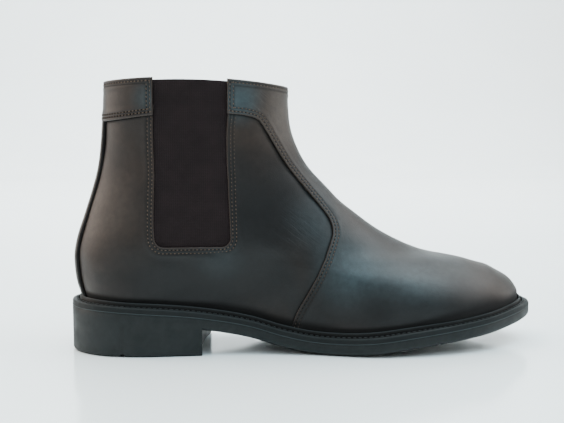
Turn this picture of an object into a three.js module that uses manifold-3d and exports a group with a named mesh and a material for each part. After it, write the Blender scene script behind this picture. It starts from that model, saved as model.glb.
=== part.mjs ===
// Chelsea boot, right foot, as separate pieces. Millimetres, +Z up, toe towards +X,
// inner (medial) side towards +Y. The floor is z = 0 and the plan centre is the origin.
import * as THREE from "three";
import { mergeVertices } from "three/addons/utils/BufferGeometryUtils.js";
import Module from "manifold-3d";

const wasm = await Module();
wasm.setup();

// ---------------------------------------------------------------- driving dimensions
const SOLE_HALF_LENGTH = 150.7; // the outsole is 301.4 mm long
const WELT_THICK = 3.4; // lip top down to the parting line
const PARTING_GAP = 0.3;
const SOLE_DEPTH = 11.2; // lip top down to the walking surface
const EDGE_BEVEL = 2.0; // the walking surface's edge is raised this much
const FEATHER_RISE = 0.3; // underside of the lasted margin above the lip top
const BEAD_HEIGHT = 2.9; // top of the rand bead above the lip top
const TOP_RISE = 3.2; // the topline is this much higher at the sides than at its ends
const AROUND = 54; // facets round a loop
const LAYERS = { outer: [0, 1.1], middle: [1.45, 2.3], inner: [2.65, 3.45], lining: [3.8, 4.6] };
const INSOLE = [5.1, 7.3]; // heights above the lip top
const HEEL_PAD = [7.6, 10.2];
const FOOTBED_THICK = 1.5;
const BREAST_X = [-68, -61]; // heel breast, lateral and medial ends
const BREAST_HOLLOW = 3.5;
const NAIL_RADIUS = 1.1;
const RIVET_RADIUS = 2.1;
const HOLE_CLEARANCE = 0.3;
const SHANK_Y = -1; // the shank and its rivets lie this far off the middle
const GROOVE_WIDTH = 2.6; // tread grooves, across the sole
const GROOVE_DEPTH = 1.8;
const TREAD_MARGIN = 6; // grooves stop this far inside the edge

// Lip-top height at 17 even stations from heel to toe.
const LIP_TOP = [
  32.2, 31.7, 30.7, 29.5, 27.8, 25.0, 21.1, 15.6, 12.0, 11.25, 12.4, 14.8, 17.0, 19.2, 21.6,
  24.6, 27,
];
// Outsole plan: y at every 15 degrees, where x = SOLE_HALF_LENGTH cos(angle), from the toe tip
// round the lateral side, the heel and the medial side.
const SOLE_PLAN = [
  6, -9.5, -26, -39.5, -47.5, -49.5, -39.3, -33.6, -34.6, -34.9, -29.2, -16.6, 0, 16.6, 29.2, 34.5,
  33.2, 32.2, 42, 49.3, 49, 43.2, 33.5, 20.5,
];
// Half widths of the last below the ankle at 9 even stations from heel to toe.
const LAST_LATERAL = [31, 31, 30, 28.6, 33.6, 44, 46.8, 46, 44];
const LAST_MEDIAL = [31, 31, 28.5, 27, 35, 42.5, 43, 40, 38];
// Loops from the feather line to the topline: front x z, back x z, half width, length of the
// front and back roundings, share of the shaft's own width.
const LOOPS = [
  [142.4, 26.6, -144.3, 32.3, 32.5, 64, 39, 0],
  [141, 35, -147.6, 43, 32.5, 74, 39, 0.05],
  [131.7, 44.2, -148.9, 53, 32.5, 97, 40, 0.3],
  [107, 53.5, -148.9, 62, 32.5, 135, 41, 0.6],
  [75, 61, -146.6, 73, 32.2, 108, 43, 0.95],
  [48.4, 73.4, -142.2, 86, 31.8, 98, 47, 1],
  [26.6, 89.1, -137.3, 101, 31.3, 88, 51, 1],
  [10.2, 104.6, -133.5, 115, 31, 76, 55, 1],
  [-2.2, 119.6, -131.6, 128.5, 31.2, 66, 58, 1],
  [-10.8, 140, -130.3, 144, 32.2, 60, 58, 1],
  [-12.6, 165.8, -128.8, 168.9, 34, 58, 58, 1],
];
const ROWS = [-1, 0, 0.08, 0.15, 0.22, 0.3, 0.38, 0.47, 0.56, 0.66, 0.76, 0.88, 1];
const MARGIN = 11; // width of the lasted margin

// Side-view outlines (x, z) of the seams.
const GORE = { back: -97, front: -50.5, bottom: 67, corner: 5.5 };
const VAMP_SEAM = [
  [-52, 178], [-52, 148.8], [-42, 147.9], [-34.3, 145.9], [-29.6, 141.2], [-15.2, 118],
  [-3.2, 102.9], [6, 92], [12.1, 83.5], [14, 75.6], [11.6, 67.7], [1.9, 46.4], [-7.8, 28.8],
  [-11, 22], [-16, -5],
];
const QUARTER_FRONT = [
  [-4, -5], [0, 22], [10, 44], [20, 64], [22.5, 76], [19.5, 88], [11, 98], [-11, 124],
  [-25, 146], [-33, 153], [-50.5, 155],
];
const COLLAR_EDGE = [[-97.2, 178], [-97.3, 147.9], [-104.9, 147], [-117, 145.4], [-165, 143]];

// ---------------------------------------------------------------- small maths
const clamp = (v, a, b) => Math.min(b, Math.max(a, v));
const mix = (a, b, k) => a + (b - a) * k;

function step(a, b, v) {
  const k = clamp((v - a) / (b - a), 0, 1);
  return k * k * (3 - 2 * k);
}

function cubic(p0, p1, p2, p3, k) {
  const a = -0.5 * p0 + 1.5 * p1 - 1.5 * p2 + 0.5 * p3;
  const b = p0 - 2.5 * p1 + 2 * p2 - 0.5 * p3;
  return ((a * k + b) * k + 0.5 * (p2 - p0)) * k + p1;
}

// Smooth curve through evenly spaced values, s from 0 to 1.
function along(values, s) {
  const last = values.length - 1;
  const at = clamp(s, 0, 1) * last;
  const i = Math.min(Math.floor(at), last - 1);
  const before = i > 0 ? values[i - 1] : 2 * values[0] - values[1];
  const after = i + 2 <= last ? values[i + 2] : 2 * values[last] - values[last - 1];
  return cubic(before, values[i], values[i + 1], after, at - i);
}

// Smooth closed curve through evenly spaced values, angle in radians.
function round(values, angle) {
  const n = values.length;
  const at = ((angle / (2 * Math.PI)) % 1 + 1) % 1 * n;
  const i = Math.floor(at);
  const v = (j) => values[(j + n) % n];
  return cubic(v(i - 1), v(i), v(i + 1), v(i + 2), at - i);
}

const stationOf = (x) => (x + SOLE_HALF_LENGTH) / (2 * SOLE_HALF_LENGTH);
const lipTop = (x) => along(LIP_TOP, stationOf(x));
const centreLine = (x) => 6 * step(10, 141, x);
const cap = (q) => Math.sqrt(1 - (1 - clamp(q, 0, 1)) ** 2);

// ---------------------------------------------------------------- the boot's outer surface
// angle 0 is the toe ridge, pi the back; angles up to pi are the lateral side.
function surface(angle, t) {
  const v = LOOPS[0].map((_, j) => along(LOOPS.map((row) => row[j]), t));
  const [xf, zf, xb, zb, shaft, frontRound, backRound, share] = v;
  const c = Math.cos(angle);
  const x = (xf + xb) / 2 + ((xf - xb) / 2) * c;
  const u = (1 - c) / 2;
  const lateral = Math.sin(angle) >= 0;
  const last = along(lateral ? LAST_LATERAL : LAST_MEDIAL, stationOf(x));
  const wide = mix(last, shaft, clamp(share, 0, 1));
  const half = wide * cap((x - xb) / backRound) * cap((xf - x) / frontRound);
  const y = centreLine(x) + (lateral ? -half : half);
  const dip = lipTop(x) + FEATHER_RISE - mix(LOOPS[0][1], LOOPS[0][3], u);
  const fade = clamp(1 - t / 0.35, 0, 1) ** 2;
  const rise = TOP_RISE * Math.sin(angle) ** 2 * step(0.72, 1, t);
  return new THREE.Vector3(x, y, mix(zf, zb, u) + dip * fade + rise);
}

function inwardNormal(angle, t) {
  const e = 1e-3;
  const da = surface(angle + e, t).sub(surface(angle - e, t));
  const dt = surface(angle, Math.min(1, t + e)).sub(surface(angle, Math.max(0, t - e)));
  return da.cross(dt).normalize();
}

// Level plan outline of the feather line, moved inwards by d.
function featherInset(angle, d) {
  const p = surface(angle, 0);
  const e = 1e-3;
  const run = surface(angle + e, 0).sub(surface(angle - e, 0)).setZ(0).normalize();
  return new THREE.Vector3(p.x + run.y * d, p.y - run.x * d, 0);
}

// Plan outline of the outsole, moved inwards by d.
function soleInset(angle, d) {
  const at = (a) =>
    new THREE.Vector3(SOLE_HALF_LENGTH * Math.cos(a), round(SOLE_PLAN, a), 0);
  const e = 1e-3;
  const run = at(angle + e).sub(at(angle - e)).normalize();
  const p = at(angle);
  return new THREE.Vector3(p.x + run.y * d, p.y - run.x * d, 0);
}

// A point of the layered upper: depth d inside the outer surface, row t. Rows below zero are
// the margin turned under the insole.
function upperPoint(angle, t, d) {
  if (t > 0) return surface(angle, t).addScaledVector(inwardNormal(angle, t), d);
  const n = inwardNormal(angle, 0.04);
  const corner = (d * (1 - n.z)) / Math.hypot(n.x, n.y);
  const p = featherInset(angle, corner - t * MARGIN);
  return p.setZ(lipTop(p.x) + FEATHER_RISE + d);
}

const angles = Array.from({ length: AROUND }, (_, i) => (2 * Math.PI * (i + 0.5)) / AROUND);
const ring = (pointAt) => angles.map(pointAt);

// ---------------------------------------------------------------- solids
function toSolid(geometry) {
  const plain = new THREE.BufferGeometry().setAttribute(
    "position",
    (geometry.index ? geometry.toNonIndexed() : geometry).getAttribute("position"),
  );
  const merged = mergeVertices(plain, 1e-4);
  const triVerts = new Uint32Array(merged.index.array);
  const vertProperties = merged.attributes.position.array;
  const made = new wasm.Manifold(new wasm.Mesh({ numProp: 3, vertProperties, triVerts }));
  if (made.volume() >= 0) return made;
  for (let i = 0; i < triVerts.length; i += 3) {
    [triVerts[i + 1], triVerts[i + 2]] = [triVerts[i + 2], triVerts[i + 1]];
  }
  return new wasm.Manifold(new wasm.Mesh({ numProp: 3, vertProperties, triVerts }));
}

function fromFaces(points, faces) {
  const position = new Float32Array(faces.flat().flatMap((i) => points[i].toArray()));
  return toSolid(
    new THREE.BufferGeometry().setAttribute("position", new THREE.BufferAttribute(position, 3)),
  );
}

function bandFaces(a, b, n, otherWay = false) {
  const faces = [];
  for (let i = 0; i < n; i++) {
    const j = (i + 1) % n;
    if (otherWay) faces.push([a + i, a + j, b + i], [a + j, b + j, b + i]);
    else faces.push([a + i, a + j, b + j], [a + i, b + j, b + i]);
  }
  return faces;
}

// Closed ring-shaped body through a cycle of rings. From ring turnAt on, the rings run back, and
// their quads are split the other way so that both skins are faceted alike.
function hoop(rings, turnAt = Infinity) {
  const n = rings[0].length;
  const faces = rings.flatMap((_, r) =>
    bandFaces(r * n, ((r + 1) % rings.length) * n, n, r >= turnAt),
  );
  return fromFaces(rings.flat(), faces);
}

// Faces that close ring "a" by joining the points that face each other across it.
function ladderFaces(a, n, flip) {
  const faces = [];
  for (let i = 0; i < n / 2 - 1; i++) {
    const quad = [a + i, a + i + 1, a + n - 2 - i, a + n - 1 - i];
    faces.push([quad[0], quad[2], quad[1]], [quad[0], quad[3], quad[2]]);
  }
  return flip ? faces.map(([p, q, r]) => [p, r, q]) : faces;
}

// Body through a stack of rings, closed at both ends.
function stack(rings) {
  const n = rings[0].length;
  const faces = rings.slice(1).flatMap((_, r) => bandFaces(r * n, (r + 1) * n, n));
  const top = (rings.length - 1) * n;
  return fromFaces(rings.flat(), [
    ...faces,
    ...ladderFaces(0, n, false),
    ...ladderFaces(top, n, true),
  ]);
}

// Side-view outline (x, z) pulled along y, or rear-view outline (y, z) pulled along x.
function prism(outline, from, to, view = "side") {
  const shape = new THREE.Shape(outline.map(([a, b]) => new THREE.Vector2(a, b)));
  const body = new THREE.ExtrudeGeometry(shape, { depth: to - from, bevelEnabled: false });
  body.translate(0, 0, from);
  const turn = new THREE.Matrix4();
  if (view === "side") turn.set(1, 0, 0, 0, 0, 0, 1, 0, 0, 1, 0, 0, 0, 0, 0, 1);
  if (view === "rear") turn.set(0, 0, 1, 0, 1, 0, 0, 0, 0, 1, 0, 0, 0, 0, 0, 1);
  return toSolid(body.applyMatrix4(turn));
}

function box(x0, x1, y0, y1, z0, z1) {
  const body = new THREE.BoxGeometry(x1 - x0, y1 - y0, z1 - z0);
  return toSolid(body.translate((x0 + x1) / 2, (y0 + y1) / 2, (z0 + z1) / 2));
}

function pin(x, y, radius, z0, z1) {
  const body = new THREE.CylinderGeometry(radius, radius, z1 - z0, 14);
  return toSolid(body.rotateX(Math.PI / 2).translate(x, y, (z0 + z1) / 2));
}

function smoothed(points, pieces) {
  const curve = new THREE.SplineCurve(points.map(([a, b]) => new THREE.Vector2(a, b)));
  return curve.getPoints(pieces).map((p) => [p.x, p.y]);
}

// ---------------------------------------------------------------- the upper's layers
function shell(layer) {
  const [d0, d1] = LAYERS[layer];
  const outer = ROWS.map((t) => ring((a) => upperPoint(a, t, d0)));
  const inner = ROWS.map((t) => ring((a) => upperPoint(a, t, d1)));
  return hoop([...outer, ...inner.reverse()], ROWS.length);
}

const outer = shell("outer");
const middle = shell("middle");
const inner = shell("inner");
const liner = shell("lining");

const bothSides = (outline) => prism(outline, -70, 70);
const lateralSide = (outline) => prism(outline, -70, -0.15);
const medialSide = (outline) => prism(outline, 0.15, 70);

function goreWindow(grow) {
  const { back, front, bottom, corner } = GORE;
  const [x0, x1, z0] = [back - grow, front + grow, bottom - grow];
  const arc = (cx, from) =>
    [0, 1, 2, 3, 4].map((k) => {
      const a = from + (k * Math.PI) / 8;
      return [cx + corner * Math.cos(a), z0 + corner + corner * Math.sin(a)];
    });
  const low = [...arc(x0 + corner, Math.PI), ...arc(x1 - corner, 1.5 * Math.PI)];
  return [[x0, 180], ...low, [x1, 180]];
}

const seamCurve = [
  VAMP_SEAM[0],
  VAMP_SEAM[1],
  ...smoothed(VAMP_SEAM.slice(2, 14), 34),
  VAMP_SEAM[14],
];

const vamp = () => outer.intersect(bothSides([...seamCurve, [170, -5], [170, 178]]));

const backCollar = () => outer.intersect(bothSides([...COLLAR_EDGE, [-165, 178]]));

// Half width of the backstay strip at height z.
const stayHalf = (z) => along([9, 10.5, 11, 10.5, 9, 7.8, 7, 6.8, 6.5], z / 160);

function stayStrip(from, to) {
  const heights = Array.from({ length: 13 }, (_, i) => -5 + i * 12.3);
  const line = (grow) => heights.map((z) => [stayHalf(clamp(z, 0, 160)) + grow, z]);
  const right = [...line(to), ...line(from).reverse()];
  return right;
}

function backstay() {
  const right = stayStrip(0, 0).slice(0, 13);
  const left = right.map(([y, z]) => [-y, z]).reverse();
  const below = prism([...right, ...left], -170, -100, "rear");
  return outer.intersect(below).subtract(bothSides(COLLAR_BELOW));
}

// Everything at or above the back collar's lower edge, with a small gap under it.
const COLLAR_BELOW = [
  [-90, 178], [-90, 147.6], [-104.9, 146.7], [-117, 145.1], [-165, 142.7], [-165, 178],
];

function piping(side) {
  const strip = stayStrip(0.3, 2.7).map(([y, z]) => [side * y, z]);
  const cut = prism(strip, -170, -100, "rear");
  return outer.intersect(cut).subtract(bothSides(COLLAR_BELOW));
}

function quarter(sideCut) {
  const outline = [...QUARTER_FRONT, [-50.5, 175], [-97, 175], [-97, 154], [-165, 151]];
  return middle
    .intersect(sideCut([...outline, [-165, -5]]))
    .subtract(bothSides(goreWindow(0)));
}

function gore(sideCut) {
  const top = [[-40, 166.4], [-50.5, 167.2], [-97, 168.6], [-110, 168.4]];
  return inner
    .intersect(sideCut(goreWindow(6)))
    .subtract(bothSides([...top, [-110, 185], [-40, 185]]));
}

const toePuff = () =>
  middle.intersect(bothSides([[89, -5], [91, 20], [88, 62], [170, 62], [170, -5]]));

const interlining = () =>
  middle.intersect(bothSides([[29, -5], [29, 96], [86, 96], [88.6, 20], [86.6, -5]]));

const heelCounter = () =>
  inner.intersect(
    bothSides([[-76, -5], [-82, 40], [-106, 58], [-110, 86], [-124, 95], [-170, 97], [-170, -5]]),
  );

const vampLining = () =>
  inner.intersect(
    bothSides([[-44.1, 178], [-44.1, 58], [-30, 42], [-26, -5], [170, -5], [170, 178]]),
  );

const HEEL_LINING = [[-104, -5], [-106, 92], [-114, 106], [-128, 111], [-170, 112], [-170, -5]];

function quarterLining(sideCut) {
  const front = [[-38, 178], [-38, 60], [-18, 42], [-14, -5], [-170, -5], [-170, 178]];
  const heelPart = HEEL_LINING.map(([x, z]) => [x > -165 ? x + 0.3 : x, z > 0 ? z + 0.3 : z]);
  return liner
    .intersect(sideCut(front))
    .subtract(bothSides(goreWindow(-2.5)))
    .subtract(bothSides(heelPart));
}

const heelLining = () => liner.intersect(bothSides(HEEL_LINING));

// ---------------------------------------------------------------- under the foot
// Level ring above or below the lip top; toe adds to the inset where the toe wall leans in.
function plate(inset, rise, toe = 0) {
  return ring((a) => {
    const p = featherInset(a, inset + toe * Math.max(0, Math.cos(a)) ** 6);
    return p.setZ(lipTop(p.x) + (typeof rise === "function" ? rise(p.x) : rise));
  });
}

const NAILS = [[-122, 0], [-111, 10], [-111, -10], [-88, 11], [-88, -11]];
const RIVETS = [-80, -8];
const nailHoles = (solid) =>
  NAILS.reduce((s, [x, y]) => s.subtract(pin(x, y, NAIL_RADIUS + HOLE_CLEARANCE, -5, 60)), solid);
const rivetHoles = (solid) =>
  RIVETS.reduce(
    (s, x) => s.subtract(pin(x, SHANK_Y, RIVET_RADIUS + HOLE_CLEARANCE, -5, 60)),
    solid,
  );

const insole = () =>
  rivetHoles(nailHoles(stack([plate(5, INSOLE[0], 2.5), plate(5, INSOLE[1], 2.5)])));

const heelRaise = (x) => (HEEL_PAD[1] - HEEL_PAD[0] + 0.3) * (1 - step(-84, -56, x));

function footbed() {
  const low = (x) => HEEL_PAD[0] + heelRaise(x);
  const high = (x) => low(x) + FOOTBED_THICK;
  return stack([plate(5.2, low, 4.4), plate(5.2, high, 4.4)]);
}

function heelPad() {
  const taper = (x) => HEEL_PAD[0] + Math.max(0.25, heelRaise(x) - 0.3);
  return stack([plate(8, HEEL_PAD[0]), plate(8, taper)]).intersect(
    box(-160, -66, -60, 60, 0, 80),
  );
}

// Flat strip that follows the sole's line.
function shankBody(grow) {
  const sections = Array.from({ length: 15 }, (_, i) => mix(-104 - grow, 8 + grow, i / 14));
  const half = (x) => 7.5 + grow - 1.5 * Math.sin(((x + 104) / 112) * Math.PI);
  const line = (z) => sections.map((x) => [x, lipTop(x) + z]);
  const outline = [...line(3.1 - grow), ...line(grow ? 9 : 4.6).reverse()];
  const wide = prism(outline, -9.5, 7.5);
  const plan = [
    ...sections.map((x) => [x, SHANK_Y - half(x)]),
    ...sections.map((x) => [x, SHANK_Y + half(x)]).reverse(),
  ];
  const shape = new THREE.Shape(plan.map(([x, y]) => new THREE.Vector2(x, y)));
  const trim = new THREE.ExtrudeGeometry(shape, { depth: 70, bevelEnabled: false });
  return wide.intersect(toSolid(trim));
}

const shank = () => rivetHoles(shankBody(0));

function bottomFiller() {
  const body = stack([plate(3.5, -3.1), plate(3.5, -0.1), plate(18, -0.1), plate(18, 4.7)]);
  return nailHoles(body).subtract(shankBody(0.3));
}

// Welt: lip, groove, rounded bead against the upper, and the flange under the lasted margin.
function welt() {
  const lip = (inset, rise, toeDrop = 0) =>
    ring((a) => {
      const p = soleInset(a, inset);
      return p.setZ(lipTop(p.x) + rise - toeDrop * step(134, 150, p.x));
    });
  const between = (k, rise) =>
    ring((a) => {
      const wall = surface(a, 0).addScaledVector(inwardNormal(a, 0), -0.4);
      const p = soleInset(a, 0).lerp(wall, k);
      return p.setZ(lipTop(p.x) + rise);
    });
  const wall = (t) =>
    ring((a) => surface(a, t).addScaledVector(inwardNormal(a, t), -0.4));
  return hoop([
    lip(0, -WELT_THICK),
    lip(0, -0.6, 2.2),
    lip(0.6, 0, 1.4),
    between(0.6, 0.1),
    between(0.68, -0.5),
    between(0.76, 1.5),
    between(0.84, BEAD_HEIGHT - 0.3),
    between(0.92, BEAD_HEIGHT),
    wall(0.015),
    between(1, 0),
    plate(3.2, 0),
    plate(3.2, -WELT_THICK),
  ]);
}

// Region behind the hollow heel breast, seen from above.
function behindBreast(back, margin) {
  const [xl, xm] = BREAST_X;
  const face = Array.from({ length: 13 }, (_, i) => {
    const y = -60 + i * 10;
    const flat = mix(xl, xm, (y + 35) / 70);
    const hollow = BREAST_HOLLOW * Math.max(0, 1 - (y / 36) ** 2);
    return new THREE.Vector2(flat - hollow - margin, y);
  });
  const shape = new THREE.Shape([
    ...face,
    new THREE.Vector2(back, 60),
    new THREE.Vector2(back, -60),
  ]);
  const body = new THREE.ExtrudeGeometry(shape, { depth: 60, bevelEnabled: false });
  return toSolid(body.translate(0, 0, -5));
}

const soleRing = (inset, height) =>
  ring((a) => {
    const p = soleInset(a, inset);
    return p.setZ(height(p.x));
  });
const soleTop = (x) => lipTop(x) - WELT_THICK - PARTING_GAP;
const tread = (x) => Math.max(0, lipTop(x) - SOLE_DEPTH);

function heelCore(grow) {
  const low = () => 5 - grow;
  const body = stack([
    soleRing(9 - grow, low),
    soleRing(9 - grow, grow ? () => 60 : (x) => soleTop(x)),
  ]);
  return body.intersect(behindBreast(-200, 9 - grow));
}

function outsole() {
  const forepart = stack([
    soleRing(4, tread),
    soleRing(0.4, (x) => tread(x) + EDGE_BEVEL),
    soleRing(0, (x) => tread(x) + EDGE_BEVEL + 0.6),
    soleRing(0, (x) => soleTop(x) - 0.4),
    soleRing(0.4, soleTop),
  ]);
  const heel = stack([
    soleRing(1.2, () => 0),
    soleRing(0.3, () => 1.2),
    soleRing(0, (x) => soleTop(x) - 1),
    soleRing(0.4, (x) => soleTop(x) - 0.2),
  ]).intersect(behindBreast(-200, 0));
  const short = [18, 32, 46, 60, 92, 106, 120, -92, -104, -130].map((x) => [x, TREAD_MARGIN]);
  const through = [78, -117].map((x) => [x, -2]);
  const half = GROOVE_WIDTH / 2;
  return [...short, ...through]
    .reduce((solid, [x, inset]) => {
      const underHeel = x < BREAST_X[1];
      const layer = stack([
        soleRing(inset, (s) => (underHeel ? -1 : tread(s) - 2)),
        soleRing(inset, (s) => (underHeel ? 2 : tread(s) + GROOVE_DEPTH)),
      ]);
      return solid.subtract(layer.intersect(box(x - half, x + half, -60, 60, -5, 40)));
    }, forepart.add(heel))
    .subtract(heelCore(0.3));
}

const nail = ([x, y]) => pin(x, y, NAIL_RADIUS, 9, lipTop(x) + INSOLE[1] - 0.5);
const rivet = (x) => pin(x, SHANK_Y, RIVET_RADIUS, lipTop(x) + 3.7, lipTop(x) + 6.6);
const nailedCore = () =>
  NAILS.reduce(
    (s, [x, y]) => s.subtract(pin(x, y, NAIL_RADIUS + HOLE_CLEARANCE, 8.6, 60)),
    heelCore(0),
  );

// ---------------------------------------------------------------- assembly
const LEATHER = [0x3b2c25, 0.45, 0];
const LINING = [0x8a7460, 0.8, 0];
const RUBBER = [0x2b3133, 0.75, 0];
const STEEL = [0x8d9094, 0.35, 0.9];

const group = new THREE.Group();
group.name = "chelsea_boot";

function add(name, solid, [colour, roughness, metalness]) {
  const { vertProperties, triVerts, numProp } = solid.getMesh();
  const position = new Float32Array(triVerts.length * 3);
  triVerts.forEach((v, i) => {
    position.set(vertProperties.subarray(v * numProp, v * numProp + 3), i * 3);
  });
  const geometry = new THREE.BufferGeometry();
  geometry.setAttribute("position", new THREE.BufferAttribute(position, 3));
  geometry.computeVertexNormals();
  const material = new THREE.MeshStandardMaterial({ color: colour, roughness, metalness });
  const mesh = new THREE.Mesh(geometry, material);
  mesh.name = name;
  group.add(mesh);
}

add("vamp", vamp(), LEATHER);
add("quarter_lateral", quarter(lateralSide), [0x41312a, 0.42, 0]);
add("quarter_medial", quarter(medialSide), [0x41312a, 0.42, 0]);
add("back_collar", backCollar(), LEATHER);
add("backstay", backstay(), LEATHER);
add("backstay_piping_lateral", piping(-1), [0x17120f, 0.6, 0]);
add("backstay_piping_medial", piping(1), [0x17120f, 0.6, 0]);
add("gore_lateral", gore(lateralSide), [0x2a2123, 0.9, 0]);
add("gore_medial", gore(medialSide), [0x2a2123, 0.9, 0]);
add("toe_puff", toePuff(), [0xb8a88c, 0.8, 0]);
add("vamp_interlining", interlining(), [0xc9c2b2, 0.9, 0]);
add("heel_counter", heelCounter(), [0x9c8664, 0.8, 0]);
add("vamp_lining", vampLining(), LINING);
add("quarter_lining_lateral", quarterLining(lateralSide), LINING);
add("quarter_lining_medial", quarterLining(medialSide), LINING);
add("heel_lining", heelLining(), [0x7a6552, 0.9, 0]);
add("footbed", footbed(), [0x94795e, 0.75, 0]);
add("heel_pad", heelPad(), [0x303030, 0.95, 0]);
add("insole_board", insole(), [0xa98c66, 0.85, 0]);
add("shank", shank(), STEEL);
RIVETS.forEach((x, i) => add("shank_rivet_" + (i + 1), rivet(x), STEEL));
add("bottom_filler", bottomFiller(), [0x8c6a45, 0.95, 0]);
add("welt", welt(), RUBBER);
add("outsole", outsole(), RUBBER);
add("heel_core", nailedCore(), [0x6f6a60, 0.8, 0]);
NAILS.forEach((at, i) => add("heel_nail_" + (i + 1), nail(at), STEEL));

export default group;
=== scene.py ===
"""Chelsea boot, right foot: its looks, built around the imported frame.

Shapes are worked out in millimetres in the part's own frame (+X toe, +Y inner side, +Z up) and
become metres when a mesh is made. The boot's outer surface is surface(angle, t), as in the part:
angle 0 is the toe ridge, +pi/2 the outer (lateral) side, pi the back; t runs from the feather
line at 0 to the topline at 1.
"""

import math

import bmesh
import bpy
import numpy as np
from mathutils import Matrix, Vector
from mathutils.geometry import delaunay_2d_cdt
from mathutils.kdtree import KDTree


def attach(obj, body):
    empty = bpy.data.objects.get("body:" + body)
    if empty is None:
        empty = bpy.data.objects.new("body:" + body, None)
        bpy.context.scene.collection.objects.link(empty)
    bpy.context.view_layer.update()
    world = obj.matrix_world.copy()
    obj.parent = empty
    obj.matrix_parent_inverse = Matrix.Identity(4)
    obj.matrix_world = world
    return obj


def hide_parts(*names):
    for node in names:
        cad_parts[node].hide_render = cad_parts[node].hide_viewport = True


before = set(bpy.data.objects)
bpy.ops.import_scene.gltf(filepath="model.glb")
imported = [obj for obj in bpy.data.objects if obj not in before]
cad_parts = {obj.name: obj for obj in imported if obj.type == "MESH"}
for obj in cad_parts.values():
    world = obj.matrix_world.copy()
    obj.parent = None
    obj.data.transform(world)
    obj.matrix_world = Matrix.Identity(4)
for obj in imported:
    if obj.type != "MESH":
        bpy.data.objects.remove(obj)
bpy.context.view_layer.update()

# ---- driving dimensions, mm
MM = 0.001
SIDES = ((1, "lateral"), (-1, "medial"))
TINY = 1e-3  # step for slopes
SOLE_HALF_LENGTH = 150.7
FEATHER_RISE = 0.3  # the feather line, above the welt's top
TOP_RISE = 3.2  # the topline's sides, above its front and back
WELT_THICK, SOLE_DEPTH = 3.4, 11.2  # from the welt's top down to its foot, and to the tread
BEAD_HEIGHT, BEAD_GAP, WELT_TUCK = 2.9, 0.35, 3.2  # above the lip; off the leather; under it
TOE_DROOP = (132, 150)  # x where the welt's lip turns down at the toe
PAD_RISE = 2.9  # how much higher the footbed lies over the heel pad
STITCH_PITCH = 2.4
OVERLAY = (0.0, 1.15)  # depth of a panel's outside and inside below the outer surface
QUARTER = (1.25, 2.3)
GORE = (2.45, 3.3)
FRONT_LINING = (2.65, 3.45)
BACK_LINING = (3.8, 4.6)
HEEL_LINING = (3.8, 4.7)
BREAST_X, BREAST_HALF = (-68, -61), 35  # the heel's front at its outer and inner ends
BREAST_HOLLOW, HOLLOW_HALF = 3.5, 36
TOE_SWING = 6  # how far the toe leans to the inner side

LIP_TOP = [  # height of the welt at even steps from heel to toe
    32.2, 31.7, 30.7, 29.5, 27.8, 25.0, 21.1, 15.6, 12.0, 11.25, 12.4, 14.8, 17.0, 19.2, 21.6,
    24.6, 27,
]
SOLE_PLAN = [  # y of the sole's outline at even angles from the toe round the outer side
    6, -9.5, -26, -39.5, -47.5, -49.5, -39.3, -33.6, -34.6, -34.9, -29.2, -16.6, 0, 16.6, 29.2, 34.5,
    33.2, 32.2, 42, 49.3, 49, 43.2, 33.5, 20.5,
]
# The last's half width on each side, at even steps from heel to toe.
LAST_LATERAL = [31, 31, 30, 28.6, 33.6, 44, 46.8, 46, 44]
LAST_MEDIAL = [31, 31, 28.5, 27, 35, 42.5, 43, 40, 38]
# Rings of the outer surface, feather line to topline: the front's x and z, the back's x and z,
# the shaft's half width, how far the front and back are rounded, and the share of the shaft.
LOOPS = [
    [142.4, 26.6, -144.3, 32.3, 32.5, 64, 39, 0],
    [141, 35, -147.6, 43, 32.5, 74, 39, 0.05],
    [131.7, 44.2, -148.9, 53, 32.5, 97, 40, 0.3],
    [107, 53.5, -148.9, 62, 32.5, 135, 41, 0.6],
    [75, 61, -146.6, 73, 32.2, 108, 43, 0.95],
    [48.4, 73.4, -142.2, 86, 31.8, 98, 47, 1],
    [26.6, 89.1, -137.3, 101, 31.3, 88, 51, 1],
    [10.2, 104.6, -133.5, 115, 31, 76, 55, 1],
    [-2.2, 119.6, -131.6, 128.5, 31.2, 66, 58, 1],
    [-10.8, 140, -130.3, 144, 32.2, 60, 58, 1],
    [-12.6, 165.8, -128.8, 168.9, 34, 58, 58, 1],
]

# Lines and corners seen from the side, as x and z.
GORE_BACK, GORE_FRONT, GORE_BOTTOM, GORE_CORNER = -97, -50.5, 67, 5.5
VAMP_SEAM = [
    (-42, 147.9), (-34.3, 145.9), (-29.6, 141.2), (-15.2, 118), (-3.2, 102.9), (6, 92),
    (12.1, 83.5), (14, 75.6), (11.6, 67.7), (1.9, 46.4), (-7.8, 28.8), (-11, 22), (-13.5, 14),
]
QUARTER_FRONT = [
    (-2, 10), (0, 22), (9, 44), (18, 62), (21, 76), (18, 87), (9, 98), (-11, 122), (-25, 143),
    (-33, 151), (-48, 154.5),
]
COLLAR_EDGE = [(-97.2, 147.9), (-104.9, 147), (-117, 145.4), (-127, 144.2)]
VAMP_SHAFT = [(-52, 168.9), (-52, 148.8)]  # beside the elastic, down to the seam
COLLAR_SHAFT = [(-97.2, 168.9), (-97.2, 148.1)]
QUARTER_BACK_TOP = (-128.5, 151)
FRONT_LINING_EDGE = [(-44.1, 160), (-44.1, 58), (-30, 42), (-26, 20)]
BACK_LINING_FRONT = [(-38, 160), (-38, 60), (-18, 42), (-14, 20)]
BACK_LINING_HEEL = [(-104.3, 34), (-106.3, 92.3), (-114.3, 106.3), (-128, 111.3)]
HEEL_LINING_EDGE = [(-104, 33), (-106, 92), (-114, 106), (-128, 111)]
LINING_HIGH = 167  # height where the tops of the linings' edges are measured

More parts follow.
